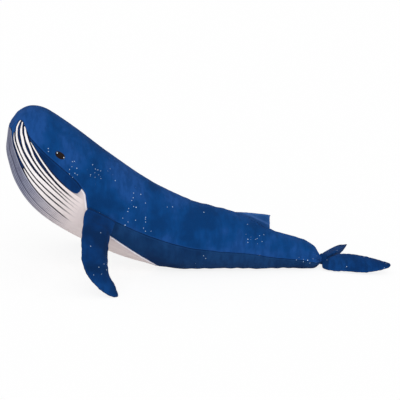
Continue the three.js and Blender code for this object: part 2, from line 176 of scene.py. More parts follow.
# Stations of the body from the nose to the gathered end. Each row holds, as shares of the
# body's length, height and half width: the back's place and height, the belly's place and
# height, and the half width between them.
BODY_STATION_SHARES = [
    (0.010, 0.874, 0.010, 0.874, 0.00),
    (0.021, 0.917, 0.004, 0.811, 0.33),
    (0.041, 0.967, 0.000, 0.736, 0.57),
    (0.078, 1.000, 0.009, 0.650, 0.78),
    (0.124, 0.985, 0.027, 0.537, 0.91),
    (0.178, 0.917, 0.061, 0.428, 0.98),
    (0.240, 0.833, 0.116, 0.322, 1.00),
    (0.310, 0.730, 0.194, 0.229, 0.99),
    (0.390, 0.622, 0.297, 0.134, 0.95),
    (0.478, 0.521, 0.413, 0.043, 0.88),
    (0.576, 0.436, 0.534, 0.000, 0.79),
    (0.655, 0.394, 0.635, 0.000, 0.70),
    (0.722, 0.361, 0.715, 0.000, 0.63),
    (0.782, 0.305, 0.782, 0.000, 0.57),
    (0.842, 0.249, 0.842, 0.000, 0.50),
    (0.900, 0.220, 0.900, 0.000, 0.43),
    (0.944, 0.194, 0.944, 0.000, 0.37),
    (0.979, 0.154, 0.982, 0.003, 0.28),
    (1.000, 0.091, 1.000, 0.030, 0.14),
]

# Seams of the body: the way along it, and the turn from the belly up to the back
THROAT_SEAM_SHARES = [
    (0, 0.51), (0.056, 0.53), (0.089, 0.56), (0.111, 0.655), (0.138, 0.695), (0.169, 0.630),
    (0.205, 0.57), (0.249, 0.561), (0.293, 0.561), (0.333, 0.556), (0.354, 0.547), (0.369, 0.530),
    (0.378, 0.517), (0.386, 0.487), (0.394, 0.446), (0.418, 0.38), (0.444, 0.335), (0.471, 0.3),
    (0.498, 0.25), (0.52, 0.165), (0.533, 0),
]
SIDE_SEAM_SHARES = [
    (0.394, 0.446), (0.444, 0.46), (0.498, 0.465), (0.578, 0.445), (0.64, 0.425), (0.735, 0.437),
    (0.84, 0.43), (0.92, 0.4), (1, 0.36),
]
NOSE_SHARE = 0.0009
CORNER_SHARE = 0.394
BELLY_START_SHARE = 0.3943
THROAT_END_SHARE = 0.533
THROAT_TIP_SHARE = 0.5326

# Outline of a flipper from its tip to its root, as shares of its chord, its length and its half
# thickness: the front edge, the rear edge and the half thickness
FLIPPER_STATION_SHARES = [
    (1.27, 0.962, 1.27, 0.962, 0.00),
    (1.11, 0.999, 1.24, 0.921, 0.34),
    (0.80, 1.000, 1.15, 0.872, 0.58),
    (0.44, 0.960, 1.04, 0.820, 0.76),
    (0.09, 0.877, 0.90, 0.755, 0.90),
    (-0.18, 0.750, 0.78, 0.662, 0.98),
    (-0.36, 0.570, 0.67, 0.540, 1.00),
    (-0.50, 0.377, 0.58, 0.385, 1.00),
    (-0.57, 0.205, 0.52, 0.215, 0.92),
    (-0.58, 0.095, 0.49, 0.100, 0.75),
    (-0.53, 0.000, 0.49, 0.000, 0.50),
]
FLIPPER_ROOT_SHARES = (0.3947, 0.4418)
FLIPPER_TURN_SHARE = 0.456

# Outline of the dorsal fin from its point to its base, in the same order, as shares of its base
# length, its height and its half thickness
FIN_STATION_SHARES = [
    (0.85, 0.86, 0.85, 0.86, 0.00),
    (0.70, 0.72, 0.87, 0.72, 0.45),
    (0.51, 0.50, 0.90, 0.53, 0.70),
    (0.31, 0.27, 0.94, 0.34, 0.86),
    (0.14, 0.05, 0.97, 0.16, 0.96),
    (0.02, -0.12, 1.00, 0.00, 0.62),
]

# Outline of a fluke lobe from its tip to its root, in the same order, as shares of its half
# chord, its length and its half thickness
FLUKE_STATION_SHARES = [
    (0.05, 1.000, 0.05, 1.000, 0.00),
    (-0.26, 0.975, 0.27, 0.965, 0.34),
    (-0.55, 0.860, 0.40, 0.850, 0.60),
    (-0.82, 0.715, 0.55, 0.715, 0.82),
    (-0.97, 0.530, 0.70, 0.530, 0.97),
    (-1.00, 0.350, 0.78, 0.350, 1.00),
    (-1.00, 0.210, 0.70, 0.210, 0.95),
    (-0.98, 0.100, 0.46, 0.100, 0.75),
    (-0.92, 0.000, 0.20, 0.000, 0.44),
]

# White stripes of the throat, the uppermost first, each from its upper end to its rear: the way
# along the body, the turn up from the belly, and the half width as a share of the stripes' own
STRIPE_HALF_WIDTH = 0.0031
STRIPE_SHARES = [
    [
        (0.213, 0.546, 0.1), (0.222, 0.539, 0.3), (0.235, 0.529, 0.45), (0.26, 0.5135, 0.5),
        (0.28, 0.5035, 0.55), (0.30, 0.4945, 0.65), (0.32, 0.486, 0.8), (0.34, 0.479, 1.0),
        (0.36, 0.4735, 1.3), (0.38, 0.470, 1.6),
    ],
    [
        (0.170, 0.622, 0.45), (0.177, 0.596, 0.65), (0.184, 0.569, 0.8), (0.196, 0.544, 0.9),
        (0.209, 0.525, 0.85), (0.24, 0.4935, 0.7), (0.27, 0.479, 0.72), (0.30, 0.468, 0.8),
        (0.32, 0.4604, 0.75), (0.34, 0.453, 0.8), (0.36, 0.4458, 1.0), (0.38, 0.440, 1.2),
    ],
    [
        (0.152, 0.660, 0.45), (0.154, 0.614, 0.65), (0.1585, 0.575, 0.85), (0.166, 0.544, 0.9),
        (0.179, 0.517, 0.97), (0.191, 0.497, 0.97), (0.21, 0.478, 0.95), (0.24, 0.4625, 0.86),
        (0.27, 0.453, 0.78), (0.30, 0.4456, 0.65), (0.32, 0.4406, 0.6), (0.34, 0.4333, 0.62),
        (0.36, 0.4238, 0.78), (0.38, 0.414, 0.9),
    ],
    [
        (0.140, 0.688, 0.4), (0.134, 0.645, 0.65), (0.131, 0.596, 0.75), (0.135, 0.556, 0.8),
        (0.142, 0.518, 0.85), (0.153, 0.4885, 0.85), (0.165, 0.468, 0.9), (0.178, 0.454, 0.9),
        (0.20, 0.4365, 0.95), (0.24, 0.420, 1.1), (0.27, 0.4167, 1.25), (0.30, 0.4164, 1.4),
        (0.33, 0.411, 1.3), (0.36, 0.3983, 1.2), (0.38, 0.388, 1.3),
    ],
    [
        (0.1234, 0.515, 0.15), (0.132, 0.482, 0.35), (0.145, 0.446, 0.45), (0.1686, 0.4165, 0.55),
        (0.20, 0.398, 0.7), (0.24, 0.387, 0.8), (0.27, 0.384, 0.92), (0.30, 0.3822, 1.08),
        (0.33, 0.377, 1.18), (0.36, 0.3661, 1.25), (0.38, 0.357, 1.3),
    ],
    [
        (0.227, 0.3605, 0.25), (0.241, 0.356, 0.6), (0.26, 0.3515, 0.95), (0.28, 0.3475, 1.35),
        (0.30, 0.345, 1.5), (0.32, 0.3407, 1.65), (0.34, 0.3332, 1.8), (0.36, 0.3226, 2.0),
        (0.38, 0.310, 2.2),
    ],
]

# Upper edge of the pale chin: the way along the body and the turn up from the belly
CHIN_EDGE_SHARES = [
    (0, 0.56), (0.066, 0.5375), (0.092, 0.5097), (0.1055, 0.4806), (0.122, 0.4514), (0.138, 0.4111),
    (0.155, 0.385), (0.1756, 0.368), (0.198, 0.353), (0.221, 0.341), (0.245, 0.334), (0.2635, 0.330),
    (0.281, 0.326), (0.30, 0.3205), (0.32, 0.315), (0.34, 0.306), (0.36, 0.293), (0.38, 0.278), (0.533, 0.2),
]

# Fine pleat lines of the chin from its edge down to its middle: the turn of each as a share of
# the edge's, and its half width as a share of the stripes' own
PLEAT_START_SHARE = 0.035
PLEAT_END_SHARE = 0.375
PLEAT_POINTS = 18
PLEAT_SHARES = [
    (0.935, 0.28), (0.88, 0.30), (0.826, 0.30), (0.766, 0.30), (0.70, 0.80), (0.60, 0.40), (0.476, 0.70),
    (0.356, 0.40), (0.237, 0.70), (0.12, 0.40), (0.0, 0.40),
]

# Outline of the dark band along the jaw with its round end: the way along the body and the turn
JAW_BAND_SHARES = [
    (0.10, 0.76), (0.152, 0.705), (0.166, 0.66), (0.18, 0.63), (0.20, 0.585), (0.213, 0.556),
    (0.245, 0.533), (0.273, 0.520), (0.286, 0.514), (0.303, 0.507), (0.323, 0.500), (0.340, 0.491),
    (0.352, 0.4865), (0.360, 0.487), (0.3655, 0.494), (0.368, 0.508), (0.3693, 0.528), (0.372, 0.56),
    (0.35, 0.70), (0.10, 0.80),
]

# Ways along the body over which parts of the print fade
HEAD_FADE_SHARES = (0.11, 0.16)
PRINT_FADE_SHARES = (0.340, 0.388)
CHIN_LINE_FADE_SHARES = (0.355, 0.380)
BLUSH_SHARES = (0.24, 0.42)

# Clusters of pale speckles: the way along the body, the turn up from the belly and the reach
SPECKLE_REACH = 0.024
SPECKLE_SHARES = [
    (0.178, 0.66, 0.5), (0.277, 0.590, 0.45), (0.325, 0.615, 0.6), (0.342, 0.568, 0.5), (0.372, 0.668, 0.6),
    (0.396, 0.735, 0.6), (0.388, 0.655, 0.8), (0.412, 0.675, 0.4), (0.456, 0.690, 0.7), (0.457, 0.612, 0.8),
    (0.466, 0.545, 0.9), (0.492, 0.515, 0.7), (0.575, 0.82, 0.4), (0.705, 0.70, 0.8), (0.73, 0.66, 0.5),
    (0.87, 0.45, 0.5), (0.59, 0.305, 0.5), (0.52, 0.74, 0.4), (0.93, 0.46, 0.5),
]
LIMB_SPECKLE_SHARE = 0.10


# Curves, tables and forms

def catmull_weights(f):
    """Weights of the four points round a place f of the way from the second to the third."""
    return np.stack([
        (-f + 2 * f**2 - f**3) / 2,
        (2 - 5 * f**2 + 3 * f**3) / 2,
        (f + 4 * f**2 - 3 * f**3) / 2,
        (-(f**2) + f**3) / 2,
    ])


def curve_points(points, share):
    """Points of a smooth curve through evenly spaced control points, at shares of its way."""
    before, after = 2 * points[:1] - points[1:2], 2 * points[-1:] - points[-2:-1]
    padded = np.vstack([before, points, after])
    place = np.clip(share, 0, 1) * (len(points) - 1)
    first = np.minimum(np.floor(place).astype(int), len(points) - 2)
    weights = catmull_weights(place - first)
    return sum(weights[k][..., None] * padded[first + k] for k in range(4))


def read_table(rows, share):
    """Smooth line through a table of (share, value) rows that never swings past them."""
    x, y = np.array(rows, float).T
    width = np.diff(x)
    rise = np.diff(y) / width
    slope = np.empty_like(x)
    slope[0], slope[-1] = rise[0], rise[-1]
    turns = rise[:-1] * rise[1:] <= 0
    left, right = 2 * width[1:] + width[:-1], width[1:] + 2 * width[:-1]
    before, after = np.where(turns, 1, rise[:-1]), np.where(turns, 1, rise[1:])
    slope[1:-1] = np.where(turns, 0, (left + right) / (left / before + right / after))
    share = np.clip(share, x[0], x[-1])
    i = np.clip(np.searchsorted(x, share) - 1, 0, len(x) - 2)
    f = (share - x[i]) / width[i]
    smooth = f**2 * (3 - 2 * f)
    bend = slope[i] * f * (1 - f) ** 2 + slope[i + 1] * f**2 * (f - 1)
    return y[i] + (y[i + 1] - y[i]) * smooth + width[i] * bend


def smooth_step(value, low, high):
    f = np.clip((value - low) / (high - low), 0, 1)
    return f * f * (3 - 2 * f)


def unit(vectors):
    length = np.linalg.norm(vectors, axis=-1, keepdims=True)
    return vectors / np.maximum(length, 1e-12)


def ripple(points, length, seed):
    """Uneven waves of about this length, mostly between -1 and 1, that pass through all space."""
    random = np.random.default_rng(seed)
    total = np.zeros(points.shape[:-1])
    waves = 6
    for _ in range(waves):
        direction = unit(random.normal(size=3)) * math.tau
        direction /= length * random.uniform(*WAVE_LENGTH_SHARES)
        total += np.sin(points @ direction + random.uniform(0, math.tau))
    return total / math.sqrt(waves)


def full_turn(count, start=-math.pi):
    """Angles evenly round a full turn."""
    return np.linspace(start, start + math.tau, count, endpoint=False)


BAG_PITCH = 0.008
BAG_COLUMNS = 80
LIMB_BAG_PITCH = 0.0055
LIMB_BAG_COLUMNS = 40
BAG_START_SHARE = 0.02
EDGE_SAMPLES = 1500


class StuffedForm:
    """A form that swells between two edges, with the bulges that its stuffing gives it.

    One curve runs up the first edge, over the pole and down the second; its y holds the half
    thickness. The turn is 0 on the second edge, half a turn on the first, positive towards +Y
    of the form's own axes. The bulges come from a cloth bag, and are zero until it is filled.
    """

    def __init__(self, name, stations, power, axes=np.eye(3), origin=np.zeros(3), freedom=None,
                 bag_pitch=BAG_PITCH, bag_columns=BAG_COLUMNS):
        first = [(x, -half, z) for x, z, _, _, half in stations[:0:-1]]
        second = [(x, half, z) for _, _, x, z, half in stations]
        self.name = name
        self.curve = np.array(first + second, float)
        self.power = 2 / power
        self.axes = axes
        self.origin = origin
        self.out = -axes[:, 2]
        self.freedom = freedom
        self.bag_rows = self.rows(BAG_START_SHARE, 1, bag_pitch)
        self.bag_turns = full_turn(bag_columns)
        self.bulge = np.zeros((len(self.bag_rows), bag_columns, 3))

    def shape(self, share, turn):
        """Points of the form before it is stuffed."""
        share, turn = np.broadcast_arrays(np.asarray(share, float), np.asarray(turn, float))
        first = curve_points(self.curve, (1 - share) / 2)
        second = curve_points(self.curve, (1 + share) / 2)
        up = np.sign(np.cos(turn)) * np.abs(np.cos(turn)) ** self.power
        out = np.sign(np.sin(turn)) * np.abs(np.sin(turn)) ** self.power
        points = (first + second) / 2 + (second - first) / 2 * up[..., None]
        points[..., 1] = second[..., 1] * out
        return points @ self.axes.T + self.origin

    def normals(self, share, turn):
        step = 1e-4
        low = np.clip(share, 2 * step, 1) - step
        along = self.shape(low + step, turn) - self.shape(low, turn)
        around = self.shape(low, turn + step) - self.shape(low, turn - step)
        return unit(np.cross(around, along))

    def rows(self, start, end, pitch):
        """Shares a pitch apart along whichever edge is the longer there."""
        even = np.linspace(start, end, EDGE_SAMPLES)
        edges = [self.shape(even, turn) for turn in (0, math.pi)]
        steps = np.max([np.linalg.norm(np.diff(edge, axis=0), axis=1) for edge in edges], axis=0)
        way = np.concatenate([[0], np.cumsum(steps)])
        return np.interp(np.linspace(0, way[-1], int(way[-1] / pitch) + 2), way, even)

    def points(self, share, turn):
        """Points of the stuffed form."""
        share, turn = np.broadcast_arrays(np.asarray(share, float), np.asarray(turn, float))
        count, columns = self.bulge.shape[:2]
        row = np.interp(share, self.bag_rows, np.arange(count))
        column = (turn + math.pi) / math.tau * columns
        first_row, first_column = np.floor(row).astype(int), np.floor(column).astype(int)
        row_weights = catmull_weights(row - first_row)
        column_weights = catmull_weights(column - first_column)
        total = self.shape(share, turn)
        for i in range(4):
            rows = np.clip(first_row + i - 1, 0, count - 1)
            for j in range(4):
                weight = row_weights[i] * column_weights[j]
                total = total + self.bulge[rows, (first_column + j - 1) % columns] * weight[..., None]
        return total


def body_stations():
    for back_x, back_z, belly_x, belly_z, half in BODY_STATION_SHARES:
        yield (
            NOSE_X + back_x * BODY_LENGTH,
            back_z * BODY_HEIGHT - FLOOR_CUT_DEPTH,
            NOSE_X + belly_x * BODY_LENGTH,
            belly_z * BODY_HEIGHT - FLOOR_CUT_DEPTH,
            half * BODY_HALF_WIDTH,
        )


def limb_stations(shares, chord, length, half_thickness):
    return [
        (first_x * chord, -first_z * length, second_x * chord, -second_z * length, half * half_thickness)
        for first_x, first_z, second_x, second_z, half in shares
    ]


def limb_place(joint_name, side, *nodes):
    """Axes and origin of a limb: along its root, across it and back along the way out."""
    joint = JOINTS[joint_name]
    origin = np.array(joint["pos_m"])
    along = unit(side * np.array(joint["axis"]))
    meshes = [frame["nodes"][node].data for node in nodes]
    centres = [np.mean([vertex.co for vertex in mesh.vertices], axis=0) for mesh in meshes]
    outward = np.mean(centres, axis=0) - origin
    back = -unit(outward - (outward @ along) * along)
    return np.stack([along, np.cross(back, along), back], axis=1), origin


# Seams of the body

def throat_turn(share):
    return np.where(share < THROAT_END_SHARE, read_table(THROAT_SEAM_SHARES, share), 0) * math.pi


def side_turn(share):
    return read_table(SIDE_SEAM_SHARES, share) * math.pi


def back_edge_turn(share):
    return np.where(share < CORNER_SHARE, throat_turn(share), side_turn(share))


def back_middle(share):
    return np.full_like(share, math.pi)


def body_seam_points():
    """Points along all the body's seams."""
    front = np.linspace(NOSE_SHARE, THROAT_END_SHARE, 400)
    rear = np.linspace(CORNER_SHARE, 1, 400)
    lines = [body.shape(front, side * throat_turn(front)) for side in SIDES.values()]
    lines += [body.shape(rear, side * side_turn(rear)) for side in SIDES.values()]
    lines.append(body.shape(np.linspace(NOSE_SHARE, 1, 500), math.pi))
    lines.append(body.shape(np.linspace(THROAT_END_SHARE, 1, 300), 0))
    return np.vstack(lines)


def dense_line(line, parts=5):
    """A line of points with more points between them."""
    shares = np.arange(parts)[:, None, None] / parts
    return np.vstack([(line[:-1] + (line[1:] - line[:-1]) * shares).reshape(-1, 3), line[-1:]])


def nearest(points, targets):
    """Distance from each point to the nearest target, and that target's number."""
    tree = KDTree(len(targets))
    for number, target in enumerate(targets):
        tree.insert(target, number)
    tree.balance()
    found = [tree.find(point)[1:] for point in points.reshape(-1, 3)]
    numbers, distances = np.array(found).T
    return distances.reshape(points.shape[:-1]), numbers.astype(int).reshape(points.shape[:-1])


def border_distance(base):
    """Distance from each point of a panel to its nearer edge seam, and the place on that seam."""
    borders = np.vstack([dense_line(base[:, 0]), dense_line(base[:, -1])])
    distance, number = nearest(base, borders)
    return distance, borders[number]


def on_left(points):
    """The points, with those of the right side mirrored to the left."""
    return np.concatenate([points[..., :1], -np.abs(points[..., 1:2]), points[..., 2:]], axis=-1)


# Stuffing: each form's bag is a sheet of cloth that pressure fills

SWELL_FRAMES = 20
START_DEPTH = 0.003
BODY_SWELL_LIMIT = 0.006
LIMB_SWELL_LIMIT = 0.0045
SEAM_HOLD_REACH = 0.006
ROOT_HOLD_REACH = 0.012
ROOT_EASE_REACH = 0.045
LIMB_SEAM_SHRINK = 0.015
BAG_CLOTH = {
    "quality": 6,
    "mass": 0.3,
    "tension_stiffness": 15,
    "compression_stiffness": 15,
    "shear_stiffness": 5,
    "bending_stiffness": 0.3,
    "use_pressure": True,
    "uniform_pressure_force": 4.0,
    "vertex_group_mass": "held",
}


def body_freedom(form, points):
    """How freely the body's bag may swell: not at its two ends, nor along its seams."""
    distance, _ = nearest(points, body_seam_points())
    freedom = (distance > SEAM_HOLD_REACH).astype(float)
    freedom[[0, -1]] = 0
    return freedom


def limb_freedom(form, points):
    """How freely a limb's bag may swell: more and more with the way out from its root."""
    return smooth_step((points - form.origin) @ form.out, ROOT_HOLD_REACH, ROOT_EASE_REACH)


def add_group(piece, name, chosen):
    """Vertex group of the chosen points of a piece's grid."""
    piece.vertex_groups.new(name=name).add(np.flatnonzero(chosen).tolist(), 1.0, "REPLACE")


def make_bag(form):
    """A closed bag of cloth a little inside the form, held where it isn't free to swell."""
    share, turn = form.bag_rows[:, None], form.bag_turns
    shape = form.shape(share, turn)
    freedom = form.freedom(form, shape)
    held = freedom == 0
    depth = np.where(held, 0, START_DEPTH)[..., None]
    bag = closed_rings(f"{form.name}_bag", shape - form.normals(share, turn) * depth)
    add_group(bag, "held", held)
    cloth = bag.modifiers.new("Cloth", "CLOTH").settings
    for key, value in BAG_CLOTH.items():
        setattr(cloth, key, value)
    cloth.effector_weights.gravity = 0
    if form.freedom is limb_freedom:
        half = len(turn) // 2
        edge = np.zeros(held.shape, bool)
        edge[:, [0, 1, -1, half - 1, half, half + 1]] = True
        add_group(bag, "edge", edge)
        cloth.vertex_group_shrink = "edge"
        cloth.shrink_max = LIMB_SEAM_SHRINK
    return bag, shape, freedom


def read_bag(bag, shape, limit):
    """How far the filled cloth lies from the form, held to a limit."""
    mesh = bag.evaluated_get(bpy.context.evaluated_depsgraph_get()).data
    found = np.empty(len(mesh.vertices) * 3, np.float32)
    mesh.vertices.foreach_get("co", found)
    count = shape.shape[0] * shape.shape[1]
    moved = found.reshape(-1, 3)[:count].reshape(shape.shape) - shape
    length = np.linalg.norm(moved, axis=-1, keepdims=True)
    return moved * np.minimum(1, limit / np.maximum(length, 1e-9))


def evened(grid):
    """A grid of bulges that closes on itself round the form, with its smallest ripples evened out."""
    around = (np.roll(grid, 1, axis=1) + 2 * grid + np.roll(grid, -1, axis=1)) / 4
    padded = np.concatenate([around[:1], around, around[-1:]])
    return (padded[:-2] + 2 * around + padded[2:]) / 4


def stuff(forms):
    """Fills all the bags together and keeps each form's bulges."""
    scene = bpy.context.scene
    bags = [make_bag(form) for form, _ in forms]
    for number in range(1, SWELL_FRAMES + 1):
        scene.frame_set(number)
    for (form, limit), (bag, shape, freedom) in zip(forms, bags):
        form.bulge = evened(evened(read_bag(bag, shape, limit) * freedom[..., None]))
        bpy.data.objects.remove(bag)
    scene.frame_set(1)


# Meshes

def grid_normals(points):
    """Unit normals of a grid of points whose rows run along and whose columns run round."""
    return unit(np.cross(np.gradient(points, axis=1), np.gradient(points, axis=0)))


def quads_of(numbers):
    """Faces between neighbouring rows and columns of a grid of vertex numbers."""
    corners = numbers[:-1, :-1], numbers[:-1, 1:], numbers[1:, 1:], numbers[1:, :-1]
    return np.stack(corners, axis=-1).reshape(-1, 4)


def new_piece(name, vertices, faces, attributes):
    mesh = bpy.data.meshes.new(name)
    mesh.from_pydata(vertices.tolist(), [], faces)
    for key, values in attributes.items():
        is_vector = np.ndim(values) == 2
        kind, slot = ("FLOAT_VECTOR", "vector") if is_vector else ("FLOAT", "value")
        attribute = mesh.attributes.new(key, kind, "POINT")
        attribute.data.foreach_set(slot, np.asarray(values, np.float32).ravel())
    mesh.polygons.foreach_set("use_smooth", [True] * len(mesh.polygons))
    mesh.update()
    piece = bpy.data.objects.new(name, mesh)
    bpy.context.scene.collection.objects.link(piece)
    return piece


def cloth_sheet(name, outer, normals, attributes):
    """A closed sheet of cloth under a grid of points, with a wall along each border."""
    rows, columns = outer.shape[:2]
    inner = outer - normals * CLOTH_THICKNESS
    for grid in (outer, inner):
        grid[..., 2] = np.maximum(grid[..., 2], 0)
    top = np.arange(rows * columns).reshape(rows, columns)
    bottom = top + rows * columns
    borders = [
        lambda grid: grid[0, ::-1],
        lambda grid: grid[-1],
        lambda grid: grid[:, 0],
        lambda grid: grid[::-1, -1],
    ]
    walls = [quads_of(np.stack([border(top), border(bottom)])) for border in borders]
    faces = np.vstack([quads_of(top), quads_of(bottom)[:, ::-1], *walls])
    vertices = np.vstack([outer.reshape(-1, 3), inner.reshape(-1, 3)])
    both = {key: np.concatenate([values.ravel()] * 2) for key, values in attributes.items()}
    both["rest"] = np.vstack([outer.reshape(-1, 3)] * 2)
    return new_piece(name, vertices, faces.tolist(), both)


def closed_rings(name, rings, attributes=None):
    """A closed body from a grid of rings, each end drawn together in the middle of its ring."""
    count, columns = rings.shape[:2]
    numbers = np.arange(count * columns).reshape(count, columns)
    around = np.hstack([numbers, numbers[:, :1]])
    start, end = count * columns, count * columns + 1
    vertices = np.vstack([rings.reshape(-1, 3), rings[0].mean(axis=0), rings[-1].mean(axis=0)])
    faces = quads_of(around).tolist()
    faces += [(start, int(a), int(b)) for a, b in zip(around[0, 1:], around[0, :-1])]
    faces += [(end, int(a), int(b)) for a, b in zip(around[-1, :-1], around[-1, 1:])]
    values = {key: np.append(values.ravel(), [0, 0]) for key, values in (attributes or {}).items()}
    return new_piece(name, vertices, faces, {"rest": vertices, **values})


# Cloth between seams

def sewn_height(distance, seam_place, radius, depth, seed):
    """Height of cloth near a seam, where it rolls in towards the seam and puckers."""
    inside = np.clip(1 - distance / radius, 0, 1)
    folds = PUCKER_HEIGHT * ripple(seam_place, PUCKER_LENGTH, seed) * np.exp(-distance / PUCKER_REACH)
    return folds * smooth_step(distance, 0, radius) - depth * (1 - np.sqrt(1 - inside**2))


def seam_height(distance, seam_place, base):
    """Height of the body's cloth over its form: lumpy, drawn down and puckered at its seams."""
    lumps = LUMP_HEIGHT * ripple(base, LUMP_LENGTH, LUMP_SEED)
    sewn = sewn_height(distance, seam_place, SEAM_RADIUS, SEAM_DEPTH, PUCKER_SEED)
    valley = VALLEY_DEPTH * np.exp(-((distance / VALLEY_REACH) ** 2))
    return lumps * smooth_step(distance, 0, 2 * VALLEY_REACH) + sewn - valley


def packed_shares(count, both_seams=True):
    """Shares across a panel, packed closer beside both its seams or beside the last one."""
    even = np.linspace(0, 1, 400)
    low, high = np.exp(-even / PACKING_REACH_SHARE), np.exp((even - 1) / PACKING_REACH_SHARE)
    density = 1 + PACKING * (both_seams * low + high)
    way = np.concatenate([[0], np.cumsum((density[1:] + density[:-1]) / 2)])
    return np.interp(np.linspace(0, way[-1], count), way, even)


def gathers(share, turn):
    """Pleats that run out from the drawn-in end of the body, with soft folds before them."""
    uneven = 1.5 * np.sin(3 * turn) + 9 * share
    pleats = GATHER_HEIGHT * np.cos(GATHER_COUNT * turn + uneven)
    folds = SOFT_GATHER_HEIGHT * np.cos(SOFT_GATHER_COUNT * turn + 0.8)
    return pleats * smooth_step(share, *GATHER_SHARES) + folds * smooth_step(share, *SOFT_GATHER_SHARES)


def fold_share(share):
    """How far the soft upright folds of the rear half show at a share of the body's length."""
    return smooth_step(share, *FOLD_START_SHARES) * (1 - smooth_step(share, *FOLD_END_SHARES))


def lift(points):
    """How far the stuffing's lumps hold the belly's lower edge off what it lies on."""
    lumps = np.clip(ripple(points, LIFT_LENGTH, LIFT_SEED), 0, 1)
    return LIFT_HEIGHT * lumps * np.exp(-points[..., 2] / LIFT_REACH)


def drawn_rows(grid, targets, reach, count):
    """A grid with more rows, that carry on and curve round to the targets."""
    knee = grid[-1] + unit(grid[-1] - grid[-2]) * reach
    rows = [
        (1 - f) ** 2 * grid[-1] + 2 * f * (1 - f) * knee + f**2 * targets
        for f in np.linspace(0, 1, count + 1)[1:]
    ]
    return np.concatenate([grid, np.stack(rows)])


def carried(values, count):
    """A grid of values with its last row repeated."""
    return np.concatenate([values, np.repeat(values[-1:], count, axis=0)])


def drawn_to_neck(outer, turn):
    """A panel's grid, carried on from the end of the body into the gathered neck."""
    around = np.stack([np.zeros_like(turn), np.sin(turn), -np.cos(turn)], axis=-1)
    sink, half_width, half_height = np.array(SLEEVE_SHARES) * (NECK_RADIUS, NECK_RADIUS, NECK_HEIGHT)
    targets = NECK_CENTRE + around * (0, half_width, half_height) - (sink, 0, 0)
    return drawn_rows(outer, targets, SLEEVE_REACH, SLEEVE_ROWS)


def body_panel(name, rows, low_turn, high_turn, columns, extra=None):
    """One panel of the body between two seams, from the turn of its first to that of its last."""
    share = np.repeat(rows[:, None], len(columns), axis=1)
    low, high = low_turn(rows)[:, None], high_turn(rows)[:, None]
    turn = low + (high - low) * columns
    base = body.points(share, turn)
    distance, seam_place = border_distance(base)
    height = seam_height(distance, seam_place, base) + gathers(share, turn)
    height += FOLD_HEIGHT * fold_share(share) * ripple(base * FOLD_STRETCH_SHARES, FOLD_LENGTH, FOLD_SEED)
    normals = body.normals(share, turn)
    outer = base + normals * height[..., None]
    outer[..., 2] += lift(base)
    attributes = {"seam": distance, "speckle": speckle_density(base)}
    if extra is not None:
        attributes.update(extra(share, turn, base))
    if rows[-1] == 1:
        outer = drawn_to_neck(outer, turn[-1])
        normals = np.concatenate([normals, grid_normals(outer)[-SLEEVE_ROWS:]])
        attributes = {key: carried(values, SLEEVE_ROWS) for key, values in attributes.items()}
    return cloth_sheet(name, outer, normals, attributes)


def speckle_density(points):
    """How thickly the print is speckled at each point, from 0 to 1."""
    mirrored = on_left(points)
    total = np.zeros(points.shape[:-1])
    for share, turn, reach in SPECKLE_SHARES:
        distance = np.linalg.norm(mirrored - body.shape(share, -turn * math.pi), axis=-1)
        total += np.exp(-((distance / (reach * SPECKLE_REACH)) ** 2))
    return np.clip(total, 0, 1)


def band_distance(base, bands):
    """Signed distance to the nearest of some printed bands, below zero inside them."""
    best = np.full(base.shape[:-1], 1.0)
    for band in bands:
        share, turn, width = curve_points(np.array(band), np.linspace(0, 1, 500)).T
        distance, number = nearest(on_left(base), body.points(share, -math.pi * turn))
        best = np.minimum(best, distance - STRIPE_HALF_WIDTH * width[number])
    return best


def pleat_bands():
    """Fine lines of the chin, that fan out from its edge to its middle and taper at both ends."""
    shares = np.linspace(PLEAT_START_SHARE, PLEAT_END_SHARE, PLEAT_POINTS)
    taper = np.sin(np.linspace(0, math.pi, PLEAT_POINTS)) ** 0.5
    for turn_share, width in PLEAT_SHARES:
        yield np.stack([shares, read_table(CHIN_EDGE_SHARES, shares) * turn_share, width * taper], axis=1)


def outline_distance(share, turn, base, outline):
    """Signed distance to a closed printed outline, below zero inside it."""
    corners = np.array(outline)
    inside = np.zeros(share.shape, bool)
    for (x0, y0), (x1, y1) in zip(corners, np.roll(corners, -1, axis=0)):
        crosses = (y0 > turn) != (y1 > turn)
        at = x0 + (turn - y0) / (y1 - y0 if y1 != y0 else 1) * (x1 - x0)
        inside ^= crosses & (share < at)
    ways = np.linspace(0, 1, 60, endpoint=False)[:, None]
    line = np.vstack([a + (b - a) * ways for a, b in zip(corners[:-1], corners[1:])])
    distance, _ = nearest(on_left(base), body.points(line[:, 0], -math.pi * line[:, 1]))
    return np.where(inside, -distance, distance)


def throat_print(share, turn, base):
    """The printed stripes of the throat, as signed distances and fades."""
    height = np.abs(turn) / math.pi
    above = (height - read_table(CHIN_EDGE_SHARES, share)) * math.pi
    step = 0.01
    width = np.linalg.norm(body.shape(share, turn + step) - body.shape(share, turn - step), axis=-1)
    return {
        "stripe": band_distance(base, STRIPE_SHARES),
        "pleat": band_distance(base, pleat_bands()),
        "chin": above * width / (2 * step),
        "jaw": outline_distance(share, height, base, JAW_BAND_SHARES),
        "head": 1 - smooth_step(share, *HEAD_FADE_SHARES),
        "fade": smooth_step(share, *PRINT_FADE_SHARES),
        "line_fade": smooth_step(share, *CHIN_LINE_FADE_SHARES),
        "blush": smooth_step(share, *BLUSH_SHARES),
    }


# Limbs

